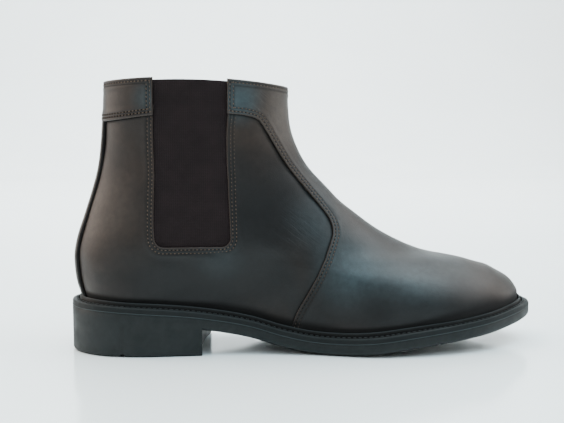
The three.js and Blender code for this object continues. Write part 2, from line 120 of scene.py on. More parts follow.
STAY_HALF = [9, 10.5, 11, 10.5, 9, 7.8, 7, 6.8, 6.5]  # at even heights from 0 to STAY_SPAN
STAY_FOOT, STAY_TOP, STAY_SPAN = 33, 144.35, 160
PIPING_RADIUS, PIPING_SINK = 1.3, 0.85
BACK_SEAM = np.pi - 0.01  # angle where the two sides of an under layer meet
GORE_SEAM = 6  # how far the elastic runs on under the leather
GORE_TOP = 1 - 1.6 / 270  # t of its upper edge
RIB_HEIGHT, RIB_PITCH = 0.07, 1.5
LINING_FOOT, LINING_TOP, LINING_BACK = 0.02, 0.985, 2.5  # t, t and mm back from the elastic
LINING_SPACING = 3.4
TOE_FILL = 1.5  # how far the leather stands up over the toe puff
TOE_FILL_X, TOE_FILL_REACH, TOE_FILL_Z = 122, 6.5, (36, 56)  # where it does so

# Stitch rows: mm in from an edge.
VAMP_ROWS = (1.7, 3.9)
GORE_ROWS = (1.5, 3.8)
COLLAR_ROWS = (2.0, 3.7)
STAY_ROWS = (1.6,)
TOP_ROW = 2.1

# The tread's cross grooves; two of them run out through the sole's side.
THROUGH_GROOVES = (78, -117)
FORE_GROOVES = (18, 32, 46, 60, 78, 92, 106, 120)
HEEL_GROOVES = (-92, -104, -117, -130)
GROOVE_DEPTH, GROOVE_HALF, GROOVE_INSET = 1.8, 1.3, 6
GROOVE_COLUMNS = (-1.45, -1.2, 0, 1.2, 1.45)  # mesh columns at a groove's walls and middle
# The sole's rounded edges: inset and height above the tread, then inset and depth below its top.
FORE_RINGS = ((4.0, 0.0), (2.6, 0.35), (1.4, 0.95), (0.5, 1.6), (0.12, 2.2), (0, 2.9))
HEEL_RINGS = ((2.2, 0.0), (1.2, 0.3), (0.4, 1.0), (0.1, 1.9))
TOP_EDGE = ((0, 0.5), (0.2, 0.12), (0.6, 0))
GLUE_GAP = 0.3
SOLE_SMOOTH = 32  # degrees

# The photograph's camera: place in mm, angles in degrees.
LENS = 58.53
CAMERA_AT = (-67.76, -590.67, 139.15)
CAMERA_DOWN, CAMERA_TURN = 5.117, 5


# ---- small maths
def step(a, b, v):
    k = np.clip((v - a) / (b - a), 0, 1)
    return k * k * (3 - 2 * k)


def lengths(points):
    """Distance along a polyline at each of its points."""
    return np.concatenate([[0], np.cumsum(np.linalg.norm(np.diff(points, axis=0), axis=1))])


def cubic(p0, p1, p2, p3, k):
    a = -0.5 * p0 + 1.5 * p1 - 1.5 * p2 + 0.5 * p3
    b = p0 - 2.5 * p1 + 2 * p2 - 0.5 * p3
    return ((a * k + b) * k + 0.5 * (p2 - p0)) * k + p1


def along(values, s):
    """Smooth curve through evenly spaced values, s from 0 to 1."""
    v = np.asarray(values, float)
    last = len(v) - 1
    at = np.clip(np.asarray(s, float), 0, 1) * last
    i = np.minimum(at.astype(int), last - 1)
    k = at - i
    if v.ndim > 1:
        k = k[..., None]
    ends = np.concatenate([[2 * v[0] - v[1]], v, [2 * v[-1] - v[-2]]])
    return cubic(ends[i], ends[i + 1], ends[i + 2], ends[i + 3], k)


def around(values, angle):
    """Smooth closed curve through evenly spaced values."""
    v = np.asarray(values, float)
    n = len(v)
    at = np.mod(np.asarray(angle, float) / (2 * np.pi), 1) * n
    i = at.astype(int)
    return cubic(v[(i - 1) % n], v[i % n], v[(i + 1) % n], v[(i + 2) % n], at - i)


def lip_top(x):
    return along(LIP_TOP, (np.asarray(x, float) + SOLE_HALF_LENGTH) / (2 * SOLE_HALF_LENGTH))


def cap(q):
    return np.sqrt(1 - (1 - np.clip(q, 0, 1)) ** 2)


def surface(angle, t):
    """Points of the boot's outer surface, one row each."""
    angle = np.asarray(angle, float)
    xf, zf, xb, zb, shaft, front, back, share = along(LOOPS, np.broadcast_to(t, angle.shape)).T
    c = np.cos(angle)
    x = (xf + xb) / 2 + (xf - xb) / 2 * c
    u = (1 - c) / 2
    side = np.sin(angle) >= 0
    at = (x + SOLE_HALF_LENGTH) / (2 * SOLE_HALF_LENGTH)
    last = np.where(side, along(LAST_LATERAL, at), along(LAST_MEDIAL, at))
    share = np.clip(share, 0, 1)
    wide = last + (shaft - last) * share
    half = wide * cap((x - xb) / back) * cap((xf - x) / front)
    y = TOE_SWING * step(10, 141, x) + np.where(side, -half, half)
    dip = lip_top(x) + FEATHER_RISE - (LOOPS[0][1] + (LOOPS[0][3] - LOOPS[0][1]) * u)
    fade = np.clip(1 - t / 0.35, 0, 1) ** 2
    z = zf + (zb - zf) * u + dip * fade + TOP_RISE * np.sin(angle) ** 2 * step(0.72, 1, t)
    return np.stack([x, y, z], -1)


def tangents(angle, t):
    e = TINY
    angle = np.asarray(angle, float)
    t = np.broadcast_to(np.asarray(t, float), angle.shape)
    low, high = np.maximum(0, t - e), np.minimum(1, t + e)
    da = (surface(angle + e, t) - surface(angle - e, t)) / (2 * e)
    dt = (surface(angle, high) - surface(angle, low)) / (high - low)[:, None]
    return da, dt


def unit(v):
    return v / np.maximum(np.linalg.norm(v, axis=-1, keepdims=True), 1e-9)


def outward(angle, t):
    da, dt = tangents(angle, t)
    return unit(np.cross(dt, da))


def bisect(low, high, rounds, over):
    """Where over(value) turns from false at low to true at high."""
    for _ in range(rounds):
        middle = (low + high) / 2
        beyond = over(middle)
        low, high = np.where(beyond, low, middle), np.where(beyond, middle, high)
    return middle


def locate(x, z, side=1):
    """Angle and t of the surface point seen at (x, z) from the outer side, or inner with -1."""
    x, z = np.broadcast_arrays(np.asarray(x, float), np.asarray(z, float))

    def angle_at(t):
        row = along(LOOPS, t)
        middle, reach = (row[:, 0] + row[:, 2]) / 2, (row[:, 0] - row[:, 2]) / 2
        return np.arccos(np.clip((x - middle) / reach, -1, 1))

    zeros = np.zeros(x.shape)
    t = bisect(zeros, zeros + 1, 40, lambda t: surface(angle_at(t), t)[:, 2] > z)
    return side * angle_at(t), t


def locate_back(y, z):
    """Angle (near pi) and t of the surface point at (y, z) on the back of the boot."""
    y, z = np.asarray(y, float), np.asarray(z, float)
    ones = np.ones(y.shape)
    t = ones / 2
    for _ in range(6):
        angle = bisect(ones * np.pi / 2, ones * np.pi, 30,
                       lambda a: -surface(a, t)[:, 1] <= np.abs(y))
        t = bisect(0 * ones, ones, 30, lambda t: surface(angle, t)[:, 2] > z)
    return np.where(y > 0, 2 * np.pi - angle, angle), t


# ---- lines on the surface
def spline(points, count=60):
    p = np.asarray(points, float)
    return along(p, np.linspace(0, 1, count))


def on_boot(line):
    """Surface points of (angle, t) rows."""
    return surface(line[:, 0], line[:, 1])


def respaced(line, s, count):
    """count rows of a line at even steps of s, which gives a length for each of its rows."""
    at = np.linspace(0, s[-1], count)
    return np.stack([np.interp(at, s, line[:, k]) for k in (0, 1)], -1)


def resampled(line, spacing):
    """The polyline of (angle, t) rows, with points evenly spaced in real millimetres."""
    dense = along_line(line, 400)
    s = lengths(on_boot(dense))
    return respaced(dense, s, max(2, int(round(s[-1] / spacing)) + 1))


def along_line(line, count):
    line = np.asarray(line, float)
    return respaced(line, lengths(line), count)


def seen(points, side=1):
    """(angle, t) rows of side-view (x, z) points."""
    p = np.asarray(points, float)
    return np.stack(locate(p[:, 0], p[:, 1], side), -1)


def level(t, a, b, count=40):
    return np.stack([np.linspace(a, b, count), np.full(count, float(t))], -1)


def offset(line, d, inwards):
    """(angle, t) rows moved d mm across the line, to its left with inwards = 1."""
    da, dt = tangents(line[:, 0], line[:, 1])
    n = unit(np.cross(dt, da))
    run = np.gradient(on_boot(line), axis=0)
    across = unit(np.cross(n, run)) * d * inwards
    g11, g12, g22 = (da * da).sum(1), (da * dt).sum(1), (dt * dt).sum(1)
    b1, b2 = (da * across).sum(1), (dt * across).sum(1)
    det = g11 * g22 - g12 * g12
    return line + np.stack([(g22 * b1 - g12 * b2) / det, (g11 * b2 - g12 * b1) / det], -1)


def inside(points, loop):
    """Which points lie inside a closed outline."""
    hit = np.zeros(len(points), bool)
    x, y = points[:, 0], points[:, 1]
    for (ax, ay), (bx, by) in zip(loop, np.roll(loop, -1, axis=0)):
        if ay != by:
            hit ^= ((ay > y) != (by > y)) & (x < (bx - ax) * (y - ay) / (by - ay) + ax)
    return hit


def distances(points, edge):
    tree = KDTree(len(edge))
    for i, p in enumerate(edge):
        tree.insert(Vector(p), i)
    tree.balance()
    return np.array([tree.find(Vector(p))[2] for p in points])


def dense_edge(lines):
    """Closely spaced surface points of several (angle, t) lines, for measuring distances."""
    return np.concatenate([on_boot(along_line(line, len(line) * 6)) for line in lines])


# ---- meshes
def make_mesh(name, points, faces, smooth_angle=40):
    mesh = bpy.data.meshes.new(name)
    mesh.from_pydata((np.asarray(points) * MM).tolist(), [], [list(map(int, f)) for f in faces])
    mesh.update()
    mesh.polygons.foreach_set("use_smooth", [True] * len(mesh.polygons))
    mesh.set_sharp_from_angle(angle=math.radians(smooth_angle))
    piece = bpy.data.objects.new(name, mesh)
    bpy.context.scene.collection.objects.link(piece)
    return piece


def quads(rings, n, start=0, closed=True):
    """Faces between neighbouring rings of n points each."""
    faces = []
    for a in range(start, start + (rings - 1) * n, n):
        for i in range(n if closed else n - 1):
            j = (i + 1) % n
            faces.append((a + i, a + j, a + n + j, a + n + i))
    return faces


def end_caps(rings, n, start=0):
    """The two faces that close a run of rings."""
    last = start + (rings - 1) * n
    return [tuple(range(start, start + n))[::-1], tuple(range(last, last + n))]


def finish_piece(piece, material, nodes=()):
    piece.data.materials.append(material)
    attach(piece, "root")
    if nodes:
        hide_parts(*nodes)


DOMAIN = np.array([60.0, 200.0])  # stretches (angle, t) so that its triangles come out even
RINGS = (0.22, 0.6, 1.1, 1.7, 2.2, 2.9, 3.6, 4.2, 4.9, 5.8, 7.0)  # mm in from the edge
THIN_RINGS = (0.2, 0.5, 1.2)  # the same for elastic and linings
SHADE_ROWS = (-1.6, -0.9, -0.4, 0, 0.4, 0.9, 1.6)  # mesh rows along an overlay's edge
EDGE_SPACING = 1.7
KEPT = 0.94  # a moved line's point stays when it is at least this share of the move away
ROW_CLEAR = (1.0, 0.5)  # mm a shade row keeps off the outline and the innermost ring
FILL_CLEAR = (0.9, 0.6, 2.2)  # mm the points between keep off these two and off shade rows
ROUND, UP = 85, 215  # about how many mm go to one unit of angle and of t
ROW_DARK, ROW_DARK_HALF, UNDER_HALF = 0.7, 0.5, 1.1  # painted shade in the furrows of stitch rows; painted shadow under an edge
DARKEST, WELT_SHADE = 1.15, (3.9, 6.6)  # painted shade just above the welt, and its heights


def panel_points(sides, rings, spacing, lines=()):
    """Outline, offset rings and lattice of a panel. sides is a list of (line, is_edge)."""
    loop = np.concatenate([resampled(line, EDGE_SPACING)[:-1] for line, _ in sides])
    flat = loop * DOMAIN
    area = np.sum(flat[:, 0] * np.roll(flat[:, 1], -1) - np.roll(flat[:, 0], -1) * flat[:, 1])
    edges = [resampled(line, EDGE_SPACING) for line, is_edge in sides if is_edge]
    border = dense_edge(edges)
    whole = dense_edge([np.concatenate([loop, loop[:1]])])
    shaded = dense_edge(lines) if lines else None
    chains = []
    for line in edges:
        for d in rings:
            ring = offset(line, d, -np.sign(area))
            near = distances(on_boot(ring), border)
            chains.append((ring, (near > KEPT * d) & inside(ring * DOMAIN, flat)))
    for line in lines:
        for d in SHADE_ROWS:
            chain = offset(resampled(line, EDGE_SPACING), d, 1)
            p = on_boot(chain)
            keep = inside(chain * DOMAIN, flat) & (distances(p, whole) > ROW_CLEAR[0])
            keep &= distances(p, border) > rings[-1] + ROW_CLEAR[1]
            if d:
                keep &= distances(p, shaded) > KEPT * abs(d)
            chains.append((chain, keep))
    low, high = loop.min(0), loop.max(0)
    columns = int((high[0] - low[0]) * ROUND / spacing) + 2
    rows = int((high[1] - low[1]) * UP / spacing) + 2
    a, t = np.meshgrid(np.linspace(low[0], high[0], columns), np.linspace(low[1], high[1], rows))
    lattice = np.stack([a.ravel(), t.ravel()], -1)
    lattice = lattice[inside(lattice * DOMAIN, flat)]
    p = on_boot(lattice)
    far = distances(p, whole) > FILL_CLEAR[0]
    far &= distances(p, border) > rings[-1] + FILL_CLEAR[1]
    if lines:
        far &= distances(p, shaded) > FILL_CLEAR[2]
    return loop, chains, lattice[far], border


def triangulated(loop, chains, lattice):
    """(angle, t) points and triangles of a panel, with its rings and rows kept as edges."""
    verts = [*loop]
    links = [(i, (i + 1) % len(loop)) for i in range(len(loop))]
    for ring, keep in chains:
        before = None
        for point, good in zip(ring, keep):
            if good:
                verts.append(point)
                if before is not None:
                    links.append((before, len(verts) - 1))
            before = len(verts) - 1 if good else None
    verts.extend(lattice)
    flat = [Vector(v * DOMAIN) for v in np.asarray(verts)]
    found = delaunay_2d_cdt(flat, links, [], 1, 1e-4)
    faces = np.array([f for f in found[2] if len(f) == 3])
    return np.array([tuple(v) for v in found[0]]) / DOMAIN, faces


def painted_seam_shade(base, gap, rows, lines):
    """Painted shade at each point: at stitch rows, a painted shadow along an overlay's edge, and above
    the welt.
    """
    shade = np.zeros(len(gap))
    for row in rows:
        shade = np.maximum(shade, ROW_DARK * np.exp(-(((gap - row) / ROW_DARK_HALF) ** 2)))
    if lines:
        near = distances(base, dense_edge(lines)) / UNDER_HALF
        shade = np.maximum(shade, np.exp(-(near**2)))
    if rows:
        x = base[:, 0]
        low, high = WELT_SHADE
        high = high + 10 * step(60, 105, x) * (1 - 0.7 * step(112, 130, x))
        high += 3 * step(-85, -50, x) * (1 - step(0, 25, x))
        above_welt = base[:, 2] - lip_top(x)
        shade = np.maximum(shade, DARKEST * (1 - step(low, high, above_welt)))
    return shade


def panel(name, sides, depths, height, rings=RINGS, spacing=2.6, facing=1, rows=(), lines=()):
    """A leather or cloth panel lying on the boot. height(distance to edge, points) raises it.

    Its points carry their distance from the edge and their painted shade at seams.
    """
    loop, chains, lattice, border = panel_points(sides, rings, spacing, lines)
    param, faces = triangulated(loop, chains, lattice)
    base = on_boot(param)
    n = outward(param[:, 0], param[:, 1])
    gap = distances(base, border)
    shown, hidden = depths[::facing]
    top = base + n * (facing * height(gap, base) - shown)[:, None]
    under = base - n * hidden
    corner = np.cross(top[faces[:, 1]] - top[faces[:, 0]], top[faces[:, 2]] - top[faces[:, 0]])
    if (corner * n[faces[:, 0]]).sum() * facing < 0:
        faces = faces[:, ::-1]
    used = {e: True for a, b, c in faces for e in ((a, b), (b, c), (c, a))}
    m = len(top)
    all_faces = [tuple(f) for f in faces]
    all_faces += [(c + m, b + m, a + m) for a, b, c in faces]
    all_faces += [(b, a, a + m, b + m) for a, b in used if (b, a) not in used]
    piece = make_mesh(name, np.concatenate([top, under]), all_faces)
    # painted shade at stitch rows, under overlay edges and above the welt, kept in the "seam"
    # attribute
    shade = painted_seam_shade(base, gap, rows, lines)
    add_attribute(piece, "edge", np.concatenate([gap, gap * 0 - 1]))
    add_attribute(piece, "seam", np.concatenate([shade, shade * 0]))
    return piece


def add_attribute(piece, name, values):
    tag = piece.data.attributes.new(name, "FLOAT", "POINT")
    tag.data.foreach_set("value", np.asarray(values, np.float32))


def wobble(p, size, seed=0.0):
    """Smooth repeatable unevenness from -1 to 1, about size mm across."""
    k = 2 * np.pi / size
    x, y, z = (p[:, i] * k for i in range(3))
    a = np.sin(x + 1.7 * np.sin(0.7 * z + seed) + seed) * np.cos(0.9 * z - 0.6 * y + 2 * seed)
    b = np.sin(0.53 * x - 0.8 * z + 1.3 * y + 3 * seed + 1.1 * np.sin(0.4 * x))
    return 0.55 * a + 0.45 * b


UNEVEN, UNEVEN_SIZE = 0.35, 46
ROW_SINK, ROW_HALF = 0.28, 0.42  # the furrow at a stitch row


def sewn_edge(rows, band=0.3, band_width=5.2, rounding=0.5):
    """Height of a panel beside its edge: rounded over, thick where folded, sunk at its seams."""

    def height(d, p):
        h = UNEVEN * wobble(p, UNEVEN_SIZE) * step(4, 14, d)
        h = h + band * (1 - step(band_width, band_width + 2.2, d))
        h = h - rounding * (1 - np.clip(d / rounding, 0, 1)) ** 2
        for row in rows:
            h = h - ROW_SINK * np.exp(-(((d - row) / ROW_HALF) ** 2))
        return h

    return height


# ---- stitches
def stitch_places(points, row):
    """Distances along a path, stitch centres on it and their pitch; odd rows are staggered."""
    s = lengths(points)
    count = max(1, int(s[-1] / STITCH_PITCH))
    shift = 0.25 + 0.5 * (row % 2)
    return s, (np.arange(count) + shift) * s[-1] / count, s[-1] / count


def frame_at(s, points, normals, c):
    """Position, and directions along, across and up, at distance c along a path."""
    def at(v, q):
        return np.array([np.interp(q, s, v[:, k]) for k in range(3)])

    up = unit(at(normals, c))
    run = unit(at(points, c + 0.3) - at(points, c - 0.3))
    return at(points, c), np.array([run, unit(np.cross(up, run)), up])


def stitch_body(length=1.5, width=0.74, depth=0.56):
    """A stitch that dips into the leather at both ends: rings of (along, across, up)."""
    a = np.arange(6) * np.pi / 3
    q = np.linspace(-1, 1, 7)[:, None]
    fat = np.sqrt(1 - 0.8 * q * q) / 2
    across = 0.08 * q + fat * width * np.cos(a)
    return np.stack([q * length / 2 + 0 * a, across, fat * depth * np.sin(a) - 0.3 * q * q], -1)


def hole_body(radius=0.54):
    """The dark dimple where the thread goes through, painted shade for the needle hole: rings of
    (along, across, up).
    """
    a = np.arange(8) * np.pi / 4
    rise, reach = np.array([(-0.53, 0.3), (-0.2, 1.0), (-0.05, 0.75)]).T[..., None]
    wide = radius * reach
    return np.stack([1.1 * wide * np.cos(a), 0.9 * wide * np.sin(a), rise + 0 * a], -1)


def row_mesh(name, paths, body, between=False):
    """Copies of a small closed body along stitch rows, at the stitches or between them."""
    rings, n = body.shape[:2]
    verts, faces = [], []
    for row, (points, normals) in enumerate(paths):
        s, centres, pitch = stitch_places(points, row)
        for c in centres[:-1] + pitch / 2 if between else centres:
            here, axes = frame_at(s, points, normals, c)
            start = len(verts) * rings * n
            verts.append(here + body.reshape(-1, 3) @ axes)
            faces += quads(rings, n, start) + end_caps(rings, n, start)
    return make_mesh(name, np.concatenate(verts), faces, smooth_angle=60)


def sew(name, paths):
    """Thread, and needle holes as dark dimples of painted shade, along every path of a seam."""
    finish_piece(row_mesh(name + "_stitching", paths, stitch_body()), THREAD)
    finish_piece(row_mesh(name + "_needle_holes", paths, hole_body(), between=True), HOLE)


def seam_path(line, d, inwards, depth=0.0, raised=0.15):
    """Points and normals of a stitch row d mm beside an edge line, on a panel depth mm down."""
    moved = offset(resampled(line, 0.8), d, inwards)
    moved = moved[distances(on_boot(moved), dense_edge([line])) > 0.96 * d]
    n = outward(moved[:, 0], moved[:, 1])
    return on_boot(moved) + n * (raised - depth), n


# ---- materials
def shader(name):
    material = bpy.data.materials.new(name)
    material.use_nodes = True
    tree = material.node_tree
    return material, tree, tree.nodes["Principled BSDF"]


def feed(tree, socket, value):
    """Set a socket to a number or colour, or link another node's output to it."""
    if isinstance(value, bpy.types.NodeSocket):
        tree.links.new(value, socket)
    else:
        socket.default_value = (*value, 1) if socket.type == "RGBA" else value


def put(tree, kind, settings=(), **inputs):
    """A shader node with its settings, and with a value or another node's output per input."""
    node = tree.nodes.new("ShaderNode" + kind)
    for key, value in settings:
        setattr(node, key, value)
    for key, value in inputs.items():
        feed(tree, node.inputs[key.replace("_", " ")], value)
    return node


def place(tree):
    """Where a point lies on its piece, in metres."""
    return put(tree, "TexCoord").outputs["Object"]


def split_xyz(tree, kind="Object"):
    return put(tree, "SeparateXYZ", Vector=put(tree, "TexCoord").outputs[kind]).outputs


def ramp(tree, value, *stops):
    """value taken to a colour between two (position, colour) stops."""
    node = put(tree, "ValToRGB", Fac=value)
    for element, (at, colour) in zip(node.color_ramp.elements, stops):
        element.position = at
        element.color = (*colour, 1)
    return node.outputs["Color"]


def grey_ramp(tree, value, low, high, span=(0.3, 0.7)):
    return ramp(tree, value, (span[0], (low,) * 3), (span[1], (high,) * 3))


def noise(tree, vector, scale, detail=4.0, roughness=0.55, distortion=0.0):
    node = put(
        tree, "TexNoise", Vector=vector, Scale=scale, Detail=detail, Roughness=roughness,
        Distortion=distortion,
    )
    return node.outputs["Fac"]


def bump(tree, height, strength, distance, below=None):
    node = put(tree, "Bump", Height=height, Strength=strength, Distance=distance)
    if below is not None:
        feed(tree, node.inputs["Normal"], below)
    return node.outputs["Normal"]


def mixed(tree, factor, a, b, blend="MIX"):
    node = put(tree, "Mix", (("data_type", "RGBA"), ("blend_type", blend)), Factor=factor)
    feed(tree, node.inputs[6], a)
    feed(tree, node.inputs[7], b)
    return node.outputs[2]


def attribute(tree, name):
    return put(tree, "Attribute", (("attribute_name", name),)).outputs["Fac"]


def remap(tree, value, source, target, kind="LINEAR"):
    """value, where it goes from source[0] to source[1], taken to target[0] … target[1]."""
    (low, high), (start, end) = source, target
    node = put(
        tree, "MapRange", (("interpolation_type", kind),), Value=value, From_Min=low,
        From_Max=high, To_Min=start, To_Max=end,
    )
    return node.outputs["Result"]


def near_point(tree, point, reach, strength=1.0):
    """strength at a point of the boot (mm) on either side, falling to 0 at reach."""
    split = split_xyz(tree)
    either = put(tree, "Math", (("operation", "ABSOLUTE"),), Value=split["Y"]).outputs[0]
    folded = put(tree, "CombineXYZ", X=split["X"], Y=either, Z=split["Z"]).outputs[0]
    gap = put(tree, "VectorMath", (("operation", "DISTANCE"),), Vector=folded)
    gap.inputs[1].default_value = [v * MM for v in point]
    gap = gap.outputs["Value"]
    return remap(tree, gap, (0.0, reach * MM), (strength, 0.0), "SMOOTHSTEP")


def creases(tree):
    """Fine slanting creases where the leather has been flexed."""
    slanted = put(
        tree, "Mapping", (("vector_type", "TEXTURE"),), Vector=place(tree),
        Rotation=(0, CREASE_TILT, 0), Scale=(9, 9, 1),
    )
    lines = noise(tree, slanted.outputs["Vector"], 520, 2, 0.45, 0.2)
    return remap(tree, lines, (0.42, 0.5), (0.0, 1.0))


def coat(tree, skin, tone, shine, relief):
    """Give a shader its colour, roughness and bump."""
    for socket, value in (("Base Color", tone), ("Roughness", shine), ("Normal", relief)):
        feed(tree, skin.inputs[socket], value)


def leather(name, dark, warm, wear_and_light, roughness=(0.4, 0.5), grain=0.25, gloss=0.42, flexed=(), light_patches=()):
    """Waxed pull-up leather: cloudy tone with patches of painted light and shade, fine pores and
    grain, raw edges with a lighter band of wear and painted highlight, and painted shade at seams.
    """
    material, tree, skin = shader(name)
    where = place(tree)
    edge, seam = attribute(tree, "edge"), attribute(tree, "seam")
    tone = ramp(tree, noise(tree, where, 14, 3, 0.5, 0.6), (0.36, dark), (0.66, warm))
    # painted light: patches of painted cool reflection, painted shade and warm pull-up colour with a
    # painted highlight
    for point, reach, strength, patch_tint in light_patches:
        tone = mixed(tree, near_point(tree, point, reach, strength), tone, patch_tint)
    fine = grey_ramp(tree, noise(tree, where, 260, 5, 0.6), 0.25, 0.75)
    tone = mixed(tree, 0.4, tone, fine, "OVERLAY")
    # lighter band along the panel's edge: edge wear and a painted highlight
    tone = mixed(tree, remap(tree, edge, (0.1, 0.9), (0.85, 0.0)), tone, wear_and_light)
    tone = mixed(tree, remap(tree, edge, (-0.25, -0.02), (1.0, 0.0)), tone, CUT_EDGE)
    # painted shade: darkened where the "seam" attribute holds painted shade
    tone = mixed(tree, remap(tree, seam, (0.0, DARKEST), (0.0, 0.96)), tone, PAINTED_SHADE)
    shine = grey_ramp(tree, noise(tree, where, 38, 4, 0.6), *roughness)
    shine = mixed(tree, remap(tree, seam, (0.0, 1.0), (0.0, 0.9)), shine, (1.0, 1.0, 1.0))
    pores = put(
        tree, "TexVoronoi", (("feature", "DISTANCE_TO_EDGE"),), Vector=where, Scale=850.0,
    )
    crackle = grey_ramp(tree, pores.outputs["Distance"], 0.0, 1.0, (0.0, 0.12))
    relief = bump(tree, crackle, grain * 0.5, 0.00012)
    relief = bump(tree, noise(tree, where, 420, 6, 0.65), grain, 0.00025, relief)
    for point, reach in flexed:
        relief = bump(tree, creases(tree), near_point(tree, point, reach, 0.4), 0.0003, relief)
    skin.inputs["Specular IOR Level"].default_value = gloss
    coat(tree, skin, tone, shine, relief)
    return material


def plain(name, dark, light, scale, roughness, rough_bump=0.2, depth=0.0002, metallic=0.0, gloss=0.5):
    """Rubber, cork, board, metal and the like: mottled colour with a matching bump."""
    material, tree, skin = shader(name)
    where = place(tree)
    mottle = noise(tree, where, scale, 5, 0.6)
    shine = grey_ramp(tree, noise(tree, where, scale * 0.3, 3, 0.5), *roughness)
    skin.inputs["Metallic"].default_value = metallic
    skin.inputs["Specular IOR Level"].default_value = gloss
    tone = ramp(tree, mottle, (0.35, dark), (0.65, light))
    coat(tree, skin, tone, shine, bump(tree, mottle, rough_bump, depth))
    return material


def painted_light_and_shade(material, highlight_tone, shade_tone):
    """Painted light from an attribute: lighter above 0 for painted highlights, darker below 0 for
    painted shade.
    """
    tree = material.node_tree
    socket = tree.nodes["Principled BSDF"].inputs["Base Color"]
    wear_and_light = attribute(tree, "wear_and_light")
    tone = mixed(tree, remap(tree, wear_and_light, (0, 1), (0, 1)), socket.links[0].from_socket, highlight_tone)
    tree.links.new(mixed(tree, remap(tree, wear_and_light, (-1, 0), (1, 0)), tone, shade_tone), socket)
    return material


def darkened_near(material, places):
    """Darkened near the given places: point in mm, reach, strength."""
    tree = material.node_tree
    socket = tree.nodes["Principled BSDF"].inputs["Base Color"]
    for point, reach, strength in places:
        near = near_point(tree, point, reach, strength)
        tree.links.new(mixed(tree, near, socket.links[0].from_socket, PAINTED_SHADE), socket)
    return material


def knit(name, dark, light):
    """Ribbed elastic: fine upright ribs crossed by rows of loops."""
    material, tree, skin = shader(name)
    where = place(tree)
    waves = [
        put(tree, "TexWave", (("bands_direction", axis),), Vector=where, Scale=scale,
            Distortion=bend, Detail=2.0).outputs["Color"]
        for axis, scale, bend in (("X", 240.0, 0.6), ("Z", 330.0, 0.8))
    ]
    both = mixed(tree, 0.5, *waves)
    patch = grey_ramp(tree, noise(tree, where, 90, 4, 0.6), 0.2, 0.8)
    tone = mixed(tree, 0.3, ramp(tree, both, (0.0, dark), (1.0, light)), patch, "OVERLAY")
    skin.inputs["Specular IOR Level"].default_value = 0.14
    skin.inputs["Sheen Weight"].default_value = 0.08
    skin.inputs["Sheen Roughness"].default_value = 0.5
    coat(tree, skin, tone, 0.92, bump(tree, both, 0.6, 0.0003))
    return material


CUT_EDGE = (0.004, 0.0028, 0.0024)
# colour of the painted shade at seams and on the thread
PAINTED_SHADE = (0.001, 0.0008, 0.0008)
CREASE_TILT = math.radians(38)
FLEXED = (((-32, 26, 158), 15), ((-12, 30, 72), 24))  # point in mm and reach
# tints of the painted light patches: a cool painted reflection, warm pull-up colour that also paints a
# highlight, and painted shade
PAINTED_COOL_REFLECTION = (0.027, 0.041, 0.047)
PULL_UP_AND_WARM_HIGHLIGHT = (0.052, 0.039, 0.032)
PAINTED_SIDE_SHADE = (0.0016, 0.0022, 0.0028)
PAINTED_LIGHT_PATCHES = (  # patches of painted light: painted cool reflections, painted shade, and warm pull-up colour that also paints a highlight; point in mm, reach, strength, tint
    ((95, 42, 30), 40, 0.8, PAINTED_SIDE_SHADE), ((-44, 34, 92), 54, 0.8, PAINTED_SIDE_SHADE),
    ((-62, 36, 44), 60, 0.9, PAINTED_SIDE_SHADE), ((10, 44, 28), 36, 0.7, PAINTED_SIDE_SHADE),
    ((-28, 36, 52), 36, 0.85, PAINTED_SIDE_SHADE), ((-100, 30, 48), 38, 0.7, PAINTED_SIDE_SHADE),
    ((64, 26, 66), 36, 0.55, PAINTED_SIDE_SHADE), ((10, 32, 84), 34, 0.5, PAINTED_COOL_REFLECTION),
    ((-44, 30, 157), 20, 1.0, PAINTED_COOL_REFLECTION), ((-101, 29, 158), 14, 0.5, PAINTED_COOL_REFLECTION),
    ((28, 36, 53), 36, 1.0, PAINTED_COOL_REFLECTION), ((62, 40, 42), 38, 0.85, PAINTED_COOL_REFLECTION),
    ((92, 20, 58), 30, 0.4, PAINTED_COOL_REFLECTION), ((-57, 31, 60), 20, 0.25, PAINTED_COOL_REFLECTION),
    ((-133, 18, 88), 38, 0.6, PULL_UP_AND_WARM_HIGHLIGHT), ((-14, 12, 150), 34, 0.75, PULL_UP_AND_WARM_HIGHLIGHT),
    ((40, 46, 25), 30, 0.9, PAINTED_SIDE_SHADE), ((66, 47, 22), 30, 0.95, PAINTED_SIDE_SHADE),
    ((96, 43, 25), 28, 0.8, PAINTED_SIDE_SHADE),
)
UPPER = leather(
    "upper_leather", (0.0042, 0.004, 0.0043), (0.0172, 0.0108, 0.008), (0.034, 0.022, 0.017),
    (0.42, 0.53), 0.3, 0.28, FLEXED, PAINTED_LIGHT_PATCHES,
)
LINING = leather(
    "lining_leather", (0.2, 0.12, 0.07), (0.3, 0.19, 0.12), (0.25, 0.15, 0.09), (0.6, 0.8), 0.35,
)
SUEDE = plain("heel_suede", (0.16, 0.1, 0.06), (0.24, 0.16, 0.1), 400, (0.85, 0.98), 0.5)
BED = leather(
    "footbed_leather", (0.22, 0.14, 0.085), (0.33, 0.22, 0.14), (0.2, 0.12, 0.07), (0.55, 0.75), 0.3,
)
PIPING = plain(
    "piping_leather", (0.0015, 0.0013, 0.0013), (0.004, 0.0033, 0.0031), 500, (0.5, 0.7), gloss=0.16,
)
ELASTIC = knit("gore_knit", (0.0072, 0.0042, 0.0046), (0.0135, 0.0082, 0.0088))
# painted shade on the thread low on the vamp's seam by the welt; darker thread at the back of the
# collar's lower edge
THREAD = darkened_near(
    plain("thread", (0.038, 0.024, 0.017), (0.088, 0.06, 0.045), 1500, (0.8, 0.95), 0.6, gloss=0.3),
    (((2, 44, 26), 44, 1.0), ((-133, 20, 144), 34, 0.5)),
)
